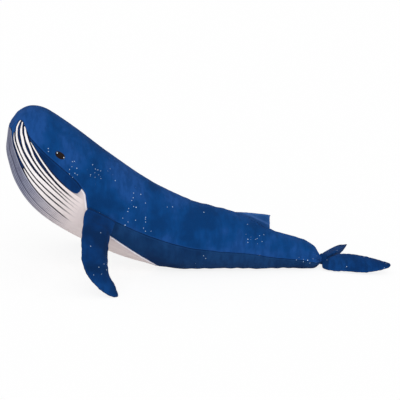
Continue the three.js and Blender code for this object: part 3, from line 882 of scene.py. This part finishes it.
# Share of the way out from a limb's root that counts as its seam distance, so that painted shade darkens the
# crease at the root
ROOT_CREASE_SHARE = 0.5
LIMB_START_SHARE = 0.003
FLIPPER_ROOT_SINK = 0.006
FLIPPER_ROOT_THICKNESS_SHARE = 0.2
FLIPPER_BEND_START = -0.006
FLIPPER_BEND_END = 0.036
LOBE_ROOT_ENDS = (-0.030, 0.012)
LOBE_ROOT_SINK = 0.006
LOBE_ROOT_THICKNESS_SHARE = 0.3
LOBE_BEND_END = 0.022
FIN_START_SHARE = 0.006
FIN_ROOT_SINK = 0.007
FIN_ROOT_THICKNESS_SHARE = 0.8
FIN_BEND_START = -0.004
FIN_BEND_END = 0.006

# How the cloth of each limb is drawn in at its root, and how far its edge seams are rounded
FLIPPER_CLOTH = {"reach": 0.006, "root_rows": 6, "corner": 0.0022}
LOBE_CLOTH = {"reach": 0.009, "root_rows": 6, "corner": 0.0020}
FIN_CLOTH = {"reach": 0.003, "root_rows": 4, "corner": 0.0012}


def limb_height(distance, seam_place, base, corner):
    """Height of a limb's cloth over its form: rolled in and puckered at its seam, and lumpy."""
    lumps = LIMB_LUMP_HEIGHT * ripple(base, LIMB_LUMP_LENGTH, LIMB_LUMP_SEED)
    depth = LIMB_SEAM_DEPTH_SHARE * corner
    sewn = sewn_height(distance, seam_place, corner, depth, LIMB_PUCKER_SEED)
    return lumps * smooth_step(distance, 0, LIMB_LUMP_REACH) + sewn


def limb_panel(name, form, side, rows, columns, targets, reach, root_rows, corner):
    """One face of a limb between its two edge seams, drawn in at its root to the targets."""
    share = np.repeat(rows[:, None], len(columns), axis=1)
    turn = side * math.pi * np.repeat(columns[None, :], len(rows), axis=0)
    base = form.points(share, turn)
    distance, seam_place = border_distance(base)
    normals = form.normals(share, turn)
    outer = base + normals * limb_height(distance, seam_place, base, corner)[..., None]
    x, y, _ = ((outer[-1] - form.origin) @ form.axes).T
    outer = drawn_rows(outer, targets(x, y), reach, root_rows)
    normals = np.concatenate([normals, side * grid_normals(outer)[-root_rows:]])
    out = np.maximum((outer - form.origin) @ form.out, 0)
    # Near the root the seam distance shrinks, so the seams' painted shade and painted highlight ring the
    # limb where it meets the body
    seam = np.minimum(carried(distance, root_rows), ROOT_CREASE_SHARE * out)
    attributes = {"seam": seam, "speckle": np.full(seam.shape, LIMB_SPECKLE_SHARE)}
    if side < 0:
        outer, normals = outer[:, ::-1], normals[:, ::-1]
        attributes = {key: values[:, ::-1] for key, values in attributes.items()}
    return cloth_sheet(name, outer, normals, attributes)


# Materials

# Pile of the plush and the brushed patches and washes of its colour
HAIR_SIZE = 0.0011
HAIR_HEIGHT = 0.0008
TUFT_SIZE = 0.0042
TUFT_HEIGHT = 0.0012
PALE_TUFT_SIZE = 0.0022
BRUSHED_SIZE = 0.011
WASH_SIZE = 0.10
PILE_STRETCH_SHARES = (1.0, 0.6, 0.45)
BRUSHED_STRETCH_SHARES = (1.0, 0.45, 0.3)

# Two kinds of speckles: the size of a cell as a share of the small ones', the share of cells
# that hold a speckle, its reach as a share of its cell, and its strength
SPECKLE_CELL = 0.006
SPECKLE_KIND_SHARES = [(1, 0.50, 0.20, 0.90), (2, 0.34, 0.16, 1.0)]

# Distances to a seam or a printed edge, at the start and the end of where a colour eases
# Painted shade darkens the plush in its seams, and a painted highlight lightens the rolled cloth beside them
SEAM_PAINTED_SHADE = (0.0, 0.0016)
SEAM_HIGHLIGHT_START = (0.0012, 0.0022)
SEAM_HIGHLIGHT_END = (0.0045, 0.0025)
PRINT_EDGE = 0.0005
INK_FADE = (0.0012, 0.0034)
HEAD_INK_FADE = (0.0008, 0.003)
PLEAT_EDGE = (0.0010, -0.0006)
CHIN_EDGE = (-0.0008, 0.0004)
CHIN_LINE_UPPER = (0.0040, 0.0018)
CHIN_LINE_LOWER = (-0.0012, 0.0)
# Painted shade beside the throat's seam, a painted highlight as its pale edging, and painted shade in its
# crease
THROAT_SHADE = (0.012, 0.005)
THROAT_EDGE_HIGHLIGHT = (0.0045, 0.0030)
THROAT_SEAM_SHADE = (0.0, 0.0015)

# Uneven edge of the throat's print and the soft sheen of its chin
FUZZ_SIZE = 0.0015
FUZZ_REACH = 0.0012
CHIN_SHEEN_SIZE = 0.012
CHIN_STRETCH_SHARES = (0.5, 1.0, 0.3)

# Stitches of the eyes and strands of the fibre
STITCH_SIZE = 0.0035
STITCH_HEIGHT = 0.0004
GLINT_EDGE = 0.0004
STRAND_SIZE = 0.0025
STRAND_HEIGHT = 0.002
STRAND_STRETCH_SHARES = (0.3, 1.0, 1.0)
WAD_SIZE = 0.02


def linear(code):
    """Linear colour of a web colour such as 0x124887."""
    channels = [((code >> shift) & 255) / 255 for shift in (16, 8, 0)]
    return (*[c / 12.92 if c <= 0.04045 else ((c + 0.055) / 1.055) ** 2.4 for c in channels], 1.0)


class Shader:
    """Short calls for building a material's nodes."""

    def __init__(self, name, roughness, sheen, sheen_roughness, sheen_tint):
        self.material = bpy.data.materials.new(name)
        self.material.use_nodes = True
        self.tree = self.material.node_tree
        self.surface = self.tree.nodes["Principled BSDF"]
        self.surface.inputs["Roughness"].default_value = roughness
        self.surface.inputs["Specular IOR Level"].default_value = 0.1
        self.surface.inputs["Sheen Weight"].default_value = sheen
        self.surface.inputs["Sheen Roughness"].default_value = sheen_roughness
        self.surface.inputs["Sheen Tint"].default_value = sheen_tint

    def put(self, socket, value):
        if isinstance(value, bpy.types.NodeSocket):
            self.tree.links.new(value, socket)
        else:
            socket.default_value = value

    def node(self, kind, inputs, **settings):
        """Node of a kind, with some of its inputs by number or by name."""
        node = self.tree.nodes.new(kind)
        for key, value in settings.items():
            setattr(node, key, value)
        for key, value in inputs.items():
            self.put(node.inputs[key], value)
        return node

    def calc(self, operation, first, second):
        return self.node("ShaderNodeMath", {0: first, 1: second}, operation=operation).outputs[0]

    def times(self, value, *factors):
        for factor in factors:
            value = self.calc("MULTIPLY", value, factor)
        return value

    def value(self, name):
        return self.node("ShaderNodeAttribute", {}, attribute_name=name).outputs["Fac"]

    def place(self):
        return self.node("ShaderNodeAttribute", {}, attribute_name="rest").outputs["Vector"]

    def stretched(self, vector, factors):
        return self.node("ShaderNodeVectorMath", {0: vector, 1: factors}, operation="MULTIPLY").outputs[0]

    def noise(self, vector, size, detail, roughness):
        inputs = {"Vector": vector, "Scale": 1 / size, "Detail": detail, "Roughness": roughness}
        return self.node("ShaderNodeTexNoise", inputs).outputs["Fac"]

    def between(self, value, low, high, start=0.0, end=1.0):
        """Value eased from start to end as it goes from low to high."""
        inputs = dict(enumerate((value, low, high, start, end)))
        return self.node("ShaderNodeMapRange", inputs, interpolation_type="SMOOTHSTEP").outputs[0]

    def mix(self, share, first, second):
        """Mix of two colours, each from a node or a web colour."""
        first, second = (linear(c) if isinstance(c, int) else c for c in (first, second))
        return self.node("ShaderNodeMix", {0: share, 6: first, 7: second}, data_type="RGBA").outputs[2]

    def bump(self, height, distance, strength, **normal):
        inputs = {"Height": height, "Distance": distance, "Strength": strength, **normal}
        return self.node("ShaderNodeBump", inputs).outputs[0]

    def finish(self, colour, normal):
        self.put(self.surface.inputs["Base Color"], colour)
        self.put(self.surface.inputs["Normal"], normal)
        return self.material


def pile_normal(shader, place):
    """The short pile of plush: fine tufts, brushed into soft patches."""
    brushed = shader.stretched(place, PILE_STRETCH_SHARES)
    tufts = shader.bump(shader.noise(brushed, TUFT_SIZE, 3.0, 0.6), TUFT_HEIGHT, 0.5)
    return shader.bump(shader.noise(brushed, HAIR_SIZE, 2.0, 0.6), HAIR_HEIGHT, 0.8, Normal=tufts)


def plush_colour(shader, place, base, light, dark):
    """Printed plush: broad washes of colour and brushed patches, with painted shade in the seams and a
    painted highlight on the rolled cloth beside them.
    """
    wash = shader.noise(place, WASH_SIZE, 3.0, 0.55)
    colour = shader.mix(shader.between(wash, 0.46, 0.60), base, light)
    colour = shader.mix(shader.between(wash, 0.48, 0.36), colour, dark)
    brushed = shader.noise(shader.stretched(place, BRUSHED_STRETCH_SHARES), BRUSHED_SIZE, 3.0, 0.6)
    colour = shader.mix(shader.between(brushed, 0.38, 0.66, 0, 0.5), colour, dark)
    tufts = shader.noise(place, PALE_TUFT_SIZE, 2.0, 0.6)
    colour = shader.mix(shader.between(tufts, 0.55, 0.75, 0, 0.28), colour, light)
    seam = shader.value("seam")
    # Painted shade: the colour darkens towards the dark tone within the seams
    colour = shader.mix(shader.between(seam, *SEAM_PAINTED_SHADE, 0.6, 0), colour, dark)
    # Painted highlight: a lighter band on the rolled cloth a few millimetres from each seam
    seam_highlight = shader.times(shader.between(seam, *SEAM_HIGHLIGHT_START), shader.between(seam, *SEAM_HIGHLIGHT_END), 0.5)
    return shader.mix(seam_highlight, colour, light)


def speckled(shader, place, colour):
    """Pale speckles where the print is speckled, small ones and a few larger ones."""
    density = shader.value("speckle")
    for cell_share, share, reach, strength in SPECKLE_KIND_SHARES:
        scale = 1 / (cell_share * SPECKLE_CELL)
        cells = shader.node("ShaderNodeTexVoronoi", {"Vector": place, "Scale": scale})
        chance = shader.node("ShaderNodeSeparateColor", {0: cells.outputs["Color"]}).outputs[0]
        chosen = shader.calc("LESS_THAN", chance, shader.times(density, share))
        dot = shader.between(cells.outputs["Distance"], reach, reach * 0.6, 0, strength)
        colour = shader.mix(shader.times(dot, chosen), colour, 0xCCE2F8)
    return colour


def blue_plush(name, base, light, dark):
    shader = Shader(name, 0.92, 0.04, 0.45, (0.35, 0.5, 0.8, 1))
    place = shader.place()
    colour = speckled(shader, place, plush_colour(shader, place, base, light, dark))
    return shader.finish(colour, pile_normal(shader, place))


def striped_colour(shader, stripe, head, ink):
    """White stripes with ink between them, that turns to the head's blue or to pale cloth."""
    pale = shader.mix(shader.value("blush"), 0xFBF7F8, 0xE9DBDA)
    gap = shader.mix(shader.between(stripe, *INK_FADE), ink, 0x0B2B5C)
    blue = shader.times(shader.value("head"), shader.between(stripe, *HEAD_INK_FADE))
    gap = shader.mix(blue, gap, head)
    gap = shader.mix(shader.value("fade"), gap, pale)
    return shader.mix(shader.between(stripe, PRINT_EDGE, -PRINT_EDGE), gap, pale)


def chin_colour(shader, place, pleat):
    """Chin with fine lines, painted grey as shade on the throat's underside, with pale patches as a painted
    sheen, that grows pale towards its rear.
    """
    sheen = shader.noise(shader.stretched(place, CHIN_STRETCH_SHARES), CHIN_SHEEN_SIZE, 2.0, 0.5)
    # Painted shade: the chin's underside is given grey, with pale patches of painted sheen
    grey = shader.mix(shader.between(sheen, 0.45, 0.65, 0, 0.3), 0x9093AA, 0xBCC0D2)
    grey = shader.mix(shader.value("blush"), grey, 0xF0E3E1)
    return shader.mix(shader.between(pleat, *PLEAT_EDGE, 0, 0.9), grey, 0x3E4058)


def throat_seam_colour(shader, colour, jaw):
    """Painted shade in a crease along the throat's seam, with soft painted shade beside it and, where the
    cloth is pale, a pale edging as a painted highlight.
    """
    seam = shader.value("seam")
    bare = shader.times(shader.value("fade"), shader.between(jaw, -PRINT_EDGE, PRINT_EDGE))
    shade = shader.times(bare, shader.between(seam, *THROAT_SHADE, 0, 0.35))
    colour = shader.mix(shade, colour, 0xCDBDBC)
    # Painted highlight: a pale edging on the rolled cloth within 4.5 mm of the seam, where the cloth is pale
    colour = shader.mix(shader.times(bare, shader.between(seam, *THROAT_EDGE_HIGHLIGHT)), colour, 0xF4F2FA)
    # Painted shade in the seam's crease: dark blue under the print, greyish where the cloth is pale
    crease_shade = shader.mix(bare, 0x0C2A5A, 0xB9AFBA)
    return shader.mix(shader.between(seam, *THROAT_SEAM_SHADE, 0.5, 0), colour, crease_shade)


def throat_plush():
    """The throat's print: navy with white stripes, a chin with fine lines that is painted grey as shade, a
    dark jaw band.
    """
    shader = Shader("throat_plush", 0.92, 0.03, 0.5, (0.8, 0.8, 0.9, 1))
    place = shader.place()
    ink = 0x060B1E
    fuzz = shader.times(shader.calc("SUBTRACT", shader.noise(place, FUZZ_SIZE, 2.0, 0.6), 0.5), FUZZ_REACH)
    stripe, chin, jaw, pleat = (
        shader.calc("ADD", shader.value(name), fuzz) for name in ("stripe", "chin", "jaw", "pleat")
    )
    head = plush_colour(shader, place, 0x084583, 0x164F93, 0x053A70)
    upper = striped_colour(shader, stripe, head, ink)
    colour = shader.mix(shader.between(chin, *CHIN_EDGE), chin_colour(shader, place, pleat), upper)
    line = shader.times(
        shader.between(chin, *CHIN_LINE_UPPER),
        shader.between(chin, *CHIN_LINE_LOWER),
        shader.calc("SUBTRACT", 1.0, shader.value("line_fade")),
    )
    colour = shader.mix(line, colour, ink)
    band = plush_colour(shader, place, 0x03336A, 0x083C76, 0x022754)
    colour = shader.mix(shader.between(jaw, PRINT_EDGE, -PRINT_EDGE), colour, band)
    return shader.finish(throat_seam_colour(shader, colour, jaw), pile_normal(shader, place))


def eye_thread():
    """Dark satin stitches across the eye, with two pale spots as glints."""
    shader = Shader("eye_thread", 0.42, 0.0, 0.5, (1, 1, 1, 1))
    across = shader.stretched(shader.place(), (1.0, 0.0, 1.0))
    inputs = {"Vector": across, "Scale": 1 / STITCH_SIZE, "Distortion": 1.5, "Detail": 1.0}
    stitches = shader.node("ShaderNodeTexWave", inputs, bands_direction="X").outputs["Fac"]
    colour = shader.mix(stitches, 0x0E0A0A, 0x2A1A16)
    colour = shader.mix(shader.between(shader.value("glint"), GLINT_EDGE, -GLINT_EDGE), colour, 0xD8E2EE)
    return shader.finish(colour, shader.bump(stitches, STITCH_HEIGHT, 0.8))


def fibre():
    """White wadding of fine strands, with soft tufts."""
    shader = Shader("fibre_wadding", 0.95, 0.3, 0.5, (1, 1, 1, 1))
    place = shader.place()
    strands = shader.noise(shader.stretched(place, STRAND_STRETCH_SHARES), STRAND_SIZE, 4.0, 0.7)
    tufts = shader.noise(place, WAD_SIZE, 3.0, 0.6)
    colour = shader.mix(strands, 0xD9D9D4, 0xF7F7F4)
    colour = shader.mix(shader.between(tufts, 0.4, 0.7, 0, 0.4), colour, 0xE6E4DC)
    return shader.finish(colour, shader.bump(strands, STRAND_HEIGHT, 0.8))


# The forms and their stuffing

def make_limb(name, side, shares, *sizes):
    """Form of a flipper or of a fluke lobe, whose bag swells out from its root."""
    axes, origin = limb_place(f"{name}_hinge", side, f"{name}_filling")
    stations = limb_stations(shares, *sizes)
    return StuffedForm(
        name, stations, LIMB_POWER, axes, origin, limb_freedom, LIMB_BAG_PITCH, LIMB_BAG_COLUMNS
    )


FLIPPER_SIZES = (FLIPPER_CHORD, FLIPPER_LENGTH, FLIPPER_HALF_THICKNESS)
FLUKE_SIZES = (FLUKE_HALF_CHORD, FLUKE_LENGTH, FLUKE_HALF_THICKNESS)

body = StuffedForm("body", list(body_stations()), BODY_POWER, freedom=body_freedom)
flippers, flukes = {}, {}
for side_name, side in SIDES.items():
    flippers[side_name] = make_limb(f"flipper_{side_name}", side, FLIPPER_STATION_SHARES, *FLIPPER_SIZES)
    flukes[side_name] = make_limb(f"fluke_{side_name}", side, FLUKE_STATION_SHARES, *FLUKE_SIZES)
dorsal_fin = StuffedForm(
    "dorsal_fin",
    limb_stations(FIN_STATION_SHARES, FIN_BASE_LENGTH, FIN_HEIGHT, FIN_HALF_THICKNESS),
    LIMB_POWER,
    *limb_place("dorsal_fin_fold", 1, "dorsal_fin_left_panel", "dorsal_fin_right_panel"),
)

swollen = [(body, BODY_SWELL_LIMIT)]
swollen += [(form, LIMB_SWELL_LIMIT) for form in (*flippers.values(), *flukes.values())]
stuff(swollen)

BACK_PLUSH = blue_plush("back_plush", 0x064280, 0x1B4C8F, 0x03366C)
BELLY_PLUSH = blue_plush("belly_plush", 0x0E3664, 0x163F70, 0x082A55)
LIMB_PLUSH = blue_plush("limb_plush", 0x04336A, 0x0A3E7A, 0x032854)
FIN_PLUSH = blue_plush("fin_plush", 0x2E5A95, 0x466BA9, 0x1A467E)
THROAT_PLUSH = throat_plush()
EYE_THREAD = eye_thread()
FIBRE = fibre()


def dress(piece, node, material):
    """Gives a piece its material, and hides the part of the node that it stands for."""
    piece.data.materials.append(material)
    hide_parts(node)


# The pieces

# The neck's middle, as a tuple
NECK = tuple(NECK_CENTRE)

NECK_ROWS = 24
NECK_COLUMNS = 96
NECK_PLEAT_SHARE = 0.07
NECK_PLEAT_COUNT = 13


def bend_at_tail(piece):
    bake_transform(piece)


def mirrored_turns(side, low_turn, high_turn):
    """The two edges of a panel of one side, in the order of their turns."""
    if side > 0:
        return low_turn, high_turn
    return (lambda share: -high_turn(share)), (lambda share: -low_turn(share))


def make_throat():
    rows = body.rows(NOSE_SHARE, THROAT_TIP_SHARE, THROAT_PITCH)
    half = packed_shares(THROAT_COLUMNS, both_seams=False)
    columns = (np.concatenate([-half[:0:-1], half]) + 1) / 2
    low, high = (lambda share: -throat_turn(share)), throat_turn
    piece = body_panel("throat_panel_cloth", rows, low, high, columns, throat_print)
    dress(piece, "throat_panel", THROAT_PLUSH)
    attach(piece, "root")


def make_back(side_name, side):
    rows = body.rows(NOSE_SHARE, 1, BODY_PITCH)
    low, high = mirrored_turns(side, back_edge_turn, back_middle)
    piece = body_panel(f"back_panel_{side_name}_cloth", rows, low, high, packed_shares(BACK_COLUMNS))
    dress(piece, f"back_panel_{side_name}", BACK_PLUSH)
    bend_at_tail(piece)


def make_belly(side_name, side):
    rows = body.rows(BELLY_START_SHARE, 1, BODY_PITCH)
    low, high = mirrored_turns(side, throat_turn, side_turn)
    piece = body_panel(f"belly_panel_{side_name}_cloth", rows, low, high, packed_shares(BELLY_COLUMNS))
    dress(piece, f"belly_panel_{side_name}", BELLY_PLUSH)
    bend_at_tail(piece)


def make_body_filling(name, start, end):
    share = body.rows(start, end, FILLING_PITCH)[:, None]
    turn = full_turn(FILLING_COLUMNS)
    base = body.points(share, turn)
    deeper = (GATHERED_FILLING_DEPTH - FILLING_DEPTH) * smooth_step(share, *GATHERED_SHARES)
    lumps = FILLING_LUMP_HEIGHT * ripple(base, FILLING_LUMP_LENGTH, FILLING_SEED)
    rings = base + body.normals(share, turn) * (lumps - FILLING_DEPTH - deeper)[..., None]
    rings[..., 2] = np.maximum(rings[..., 2], 2 * CLOTH_THICKNESS)
    piece = closed_rings(f"{name}_fibre", rings)
    dress(piece, name, FIBRE)
    if end == 1:
        bend_at_tail(piece)
    else:
        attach(piece, "root")


def glint_distance(x, y):
    """Signed distance to the nearer glint of an eye, below zero inside it."""
    return np.minimum(*[
        np.hypot(x - x_share * EYE_LENGTH / 2, y - y_share * EYE_HEIGHT / 2) - share * GLINT_RADIUS
        for x_share, y_share, share in GLINT_SHARES
    ])


def make_eye(side_name, side):
    centre_turn = side * EYE_TURN_SHARE * math.pi
    step = 1e-3
    centre = body.points(EYE_SHARE, centre_turn)
    along = np.linalg.norm(body.points(EYE_SHARE + step, centre_turn) - centre) / step
    around = np.linalg.norm(body.points(EYE_SHARE, centre_turn + step) - centre) / step
    reach = np.sin(np.linspace(0, math.pi / 2, EYE_RINGS))[:, None]
    angle = full_turn(EYE_COLUMNS, 0)
    x, y = reach * np.cos(angle) * EYE_LENGTH / 2, reach * np.sin(angle) * EYE_HEIGHT / 2
    level_x = x * math.cos(EYE_TILT) - side * y * math.sin(EYE_TILT)
    level_y = y * math.cos(EYE_TILT) + side * x * math.sin(EYE_TILT)
    share, turn = EYE_SHARE + level_x / along, centre_turn + level_y / around
    base, normals = body.points(share, turn), body.normals(share, turn)
    level = LUMP_HEIGHT * ripple(base, LUMP_LENGTH, LUMP_SEED)
    crown = EYE_CROWN * np.sqrt(np.clip(1 - reach**3, 0, 1))
    top = base + normals * (level + crown)[..., None]
    under = base + normals * (level - 2 * CLOTH_THICKNESS)[..., None]
    rings = np.concatenate([top, under[::-1]])
    glint = glint_distance(x, side * y)
    piece = closed_rings(f"eye_{side_name}_thread", rings, {"glint": np.concatenate([glint, glint[::-1]])})
    dress(piece, f"eye_{side_name}", EYE_THREAD)
    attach(piece, "root")


def place_out(form, distance):
    """Point at a distance out from the joint of a limb."""
    return tuple(form.origin + form.out * distance)


def chord_ends(station_shares, chord):
    """Places of the front and rear edge of a limb's root along its chord."""
    return np.array([station_shares[-1][0], station_shares[-1][2]]) * chord


def limb_faces(form, faces, targets, cloth, start_share, pitch, columns):
    """Cloth of both faces of a limb, each with the name of the node that it stands for."""
    rows = form.rows(start_share, 1, pitch)
    for face, side in faces.items():
        name = f"{form.name}_{face}"
        piece = limb_panel(f"{name}_cloth", form, side, rows, packed_shares(columns), targets, **cloth)
        yield piece, f"{name}_panel"


def make_limb_filling(form, start, end):
    share = form.rows(LIMB_FILLING_START_SHARE, 1, LIMB_FILLING_PITCH)[:, None]
    own = (form.points(share, full_turn(LIMB_FILLING_COLUMNS)) - form.origin) @ form.axes
    middle = own.mean(axis=1, keepdims=True)
    own = middle + (own - middle) * LIMB_FILLING_SHARES
    piece = closed_rings(f"{form.name}_filling_fibre", own @ form.axes.T + form.origin)
    dress(piece, f"{form.name}_filling", FIBRE)
    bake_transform(piece)
    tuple(start)
    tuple(end)


def make_flipper(side_name, side):
    form = flippers[side_name]
    turn = side * FLIPPER_TURN_SHARE * math.pi
    ends = chord_ends(FLIPPER_STATION_SHARES, FLIPPER_CHORD)

    def seam_line(x, y):
        share = np.interp(x, ends, FLIPPER_ROOT_SHARES)
        sunk = body.points(share, turn) - body.normals(share, turn) * FLIPPER_ROOT_SINK
        return sunk + y[:, None] * FLIPPER_ROOT_THICKNESS_SHARE * form.axes[:, 1]

    start, end = place_out(form, FLIPPER_BEND_START), place_out(form, FLIPPER_BEND_END)
    faces = {"outer": side, "inner": -side}
    grid = LIMB_START_SHARE, LIMB_PITCH, LIMB_COLUMNS
    for piece, node in limb_faces(form, faces, seam_line, FLIPPER_CLOTH, *grid):
        dress(piece, node, LIMB_PLUSH)
        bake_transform(piece)
        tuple(start)
        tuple(end)
    make_limb_filling(form, start, end)


def make_fluke(side_name):
    form = flukes[side_name]
    ends = chord_ends(FLUKE_STATION_SHARES, FLUKE_HALF_CHORD)

    def neck_line(x, y):
        spread = np.interp(x, ends, LOBE_ROOT_ENDS)[:, None] * form.axes[:, 0]
        points = NECK_CENTRE + spread + y[:, None] * LOBE_ROOT_THICKNESS_SHARE * form.axes[:, 1]
        points[:, 0] = np.maximum(points[:, 0], NECK_CENTRE[0] - LOBE_ROOT_SINK)
        return points

    end = place_out(form, LOBE_BEND_END)
    top = 1 if form.axes[2, 1] > 0 else -1
    faces = {"top": top, "under": -top}
    grid = LIMB_START_SHARE, LIMB_PITCH, LIMB_COLUMNS
    for piece, node in limb_faces(form, faces, neck_line, LOBE_CLOTH, *grid):
        dress(piece, node, LIMB_PLUSH)
        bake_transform(piece)
    make_limb_filling(form, NECK, end)


def make_fin():
    form = dorsal_fin

    def base_line(x, y):
        flat = x[:, None] * form.axes[:, 0] + y[:, None] * FIN_ROOT_THICKNESS_SHARE * form.axes[:, 1]
        return form.origin + flat - form.out * FIN_ROOT_SINK

    start, end = place_out(form, FIN_BEND_START), place_out(form, FIN_BEND_END)
    faces = {"left": 1, "right": -1}
    grid = FIN_START_SHARE, FIN_PITCH, FIN_COLUMNS
    for piece, node in limb_faces(form, faces, base_line, FIN_CLOTH, *grid):
        dress(piece, node, FIN_PLUSH)
        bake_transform(piece)
        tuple(start)
        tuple(end)


def make_neck():
    """Pleated barrel of gathered cloth between the body and the flukes."""
    turn = full_turn(NECK_COLUMNS, 0)
    angle = (np.linspace(-1, 1, NECK_ROWS) * math.pi / 2)[:, None]
    radius = NECK_END_RADIUS + (NECK_RADIUS - NECK_END_RADIUS) * np.cos(angle)
    pleats = NECK_PLEAT_SHARE * np.cos(NECK_PLEAT_COUNT * turn + 0.6 * np.sin(2 * turn))
    radius = radius * (1 + pleats)
    height = NECK_HEIGHT / 2 * np.sin(angle) + 0 * turn
    rings = NECK_CENTRE + np.stack([radius * np.cos(turn), radius * np.sin(turn), height], axis=-1)
    piece = closed_rings("tail_neck_cloth", rings)
    dress(piece, "tail_neck", LIMB_PLUSH)
    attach(piece, "tail_neck")


make_throat()
head_cut, tail_cut = FILLING_CUT_SHARES
make_body_filling("head_filling", FILLING_START_SHARE, head_cut - FILLING_GAP_SHARE)
make_body_filling("trunk_filling", head_cut + FILLING_GAP_SHARE, tail_cut - FILLING_GAP_SHARE)
make_body_filling("tail_filling", tail_cut + FILLING_GAP_SHARE, 1)
make_fin()
make_neck()
for side_name, side in SIDES.items():
    make_back(side_name, side)
    make_belly(side_name, side)
    make_eye(side_name, side)
    make_flipper(side_name, side)
    make_fluke(side_name)


# Stage

FLOOR_HALF_SIZE = 60
FLOOR_GREY = 0.97
FLOOR_GLOW = 1.05
FLOOR_GLOW_SHARE = 0.8
WORLD_STRENGTH = 0.45

# Each sun's strength, and in degrees its spread, its way round the object and its height
SUNS = {
    "key_light": (1.45, 60, -15, 32),
    "fill_light": (0.4, 90, 50, 60),
}


def make_floor():
    """White floor, which mostly glows where the camera sees it."""
    signs = np.array([(-1, -1, 0), (1, -1, 0), (1, 1, 0), (-1, 1, 0)], float)
    floor = new_piece("floor", signs * FLOOR_HALF_SIZE, [(0, 1, 2, 3)], {})
    material = bpy.data.materials.new("floor_white")
    material.use_nodes = True
    tree = material.node_tree
    surface = tree.nodes["Principled BSDF"]
    surface.inputs["Base Color"].default_value = (FLOOR_GREY, FLOOR_GREY, FLOOR_GREY, 1)
    surface.inputs["Roughness"].default_value = 0.95
    surface.inputs["Specular IOR Level"].default_value = 0.0
    glow = tree.nodes.new("ShaderNodeEmission")
    glow.inputs["Strength"].default_value = FLOOR_GLOW
    paths = tree.nodes.new("ShaderNodeLightPath")
    share = tree.nodes.new("ShaderNodeMath")
    share.operation = "MULTIPLY"
    share.inputs[1].default_value = FLOOR_GLOW_SHARE
    mixed = tree.nodes.new("ShaderNodeMixShader")
    tree.links.new(paths.outputs["Is Camera Ray"], share.inputs[0])
    tree.links.new(share.outputs[0], mixed.inputs[0])
    tree.links.new(surface.outputs[0], mixed.inputs[1])
    tree.links.new(glow.outputs[0], mixed.inputs[2])
    tree.links.new(mixed.outputs[0], tree.nodes["Material Output"].inputs["Surface"])
    floor.data.materials.append(material)


def make_world():
    """White surroundings, which light the object less than the camera sees."""
    world = bpy.data.worlds.new("studio")
    bpy.context.scene.world = world
    world.use_nodes = True
    tree = world.node_tree
    paths = tree.nodes.new("ShaderNodeLightPath")
    seen = tree.nodes.new("ShaderNodeMapRange")
    seen.inputs["To Min"].default_value = WORLD_STRENGTH
    seen.inputs["To Max"].default_value = 1.0
    tree.links.new(paths.outputs["Is Camera Ray"], seen.inputs["Value"])
    tree.links.new(seen.outputs[0], tree.nodes["Background"].inputs["Strength"])
    tree.nodes["Background"].inputs["Color"].default_value = (1, 1, 1, 1)


def direction(azimuth, elevation):
    """Way back from the object for a view or a light, in degrees round it and up."""
    a, e = math.radians(azimuth), math.radians(elevation)
    return Vector((math.sin(a) * math.cos(e), -math.cos(a) * math.cos(e), math.sin(e)))


def make_sun(name, strength, angle, azimuth, elevation):
    light = bpy.data.lights.new(name, "SUN")
    light.energy = strength
    light.angle = math.radians(angle)
    lamp = bpy.data.objects.new(name, light)
    bpy.context.scene.collection.objects.link(lamp)
    lamp.rotation_euler = direction(azimuth, elevation).to_track_quat("Z", "Y").to_euler()


CAMERA_AZIMUTH = -8
CAMERA_ELEVATION = 12
CAMERA_ROLL = 2.2
CAMERA_DISTANCE = 2.8
CAMERA_VIEW_WIDTH = 0.972
CAMERA_TARGET = Vector((NOSE_X + 0.468, 0, 0.171))


def make_camera():
    back = direction(CAMERA_AZIMUTH, CAMERA_ELEVATION)
    level = Vector((0, 0, 1)).cross(back).normalized()
    roll = math.radians(CAMERA_ROLL)
    right = level * math.cos(roll) + back.cross(level) * math.sin(roll)
    data = bpy.data.cameras.new("camera")
    data.sensor_width = 36
    data.lens = data.sensor_width * CAMERA_DISTANCE / CAMERA_VIEW_WIDTH
    camera = bpy.data.objects.new("camera", data)
    bpy.context.scene.collection.objects.link(camera)
    camera.matrix_world = Matrix((right, back.cross(right), back)).transposed().to_4x4()
    camera.matrix_world.translation = CAMERA_TARGET + back * CAMERA_DISTANCE
    bpy.context.scene.camera = camera


make_floor()
make_world()
for name, sun in SUNS.items():
    make_sun(name, *sun)
make_camera()
bpy.context.scene.view_settings.view_transform = "Standard"
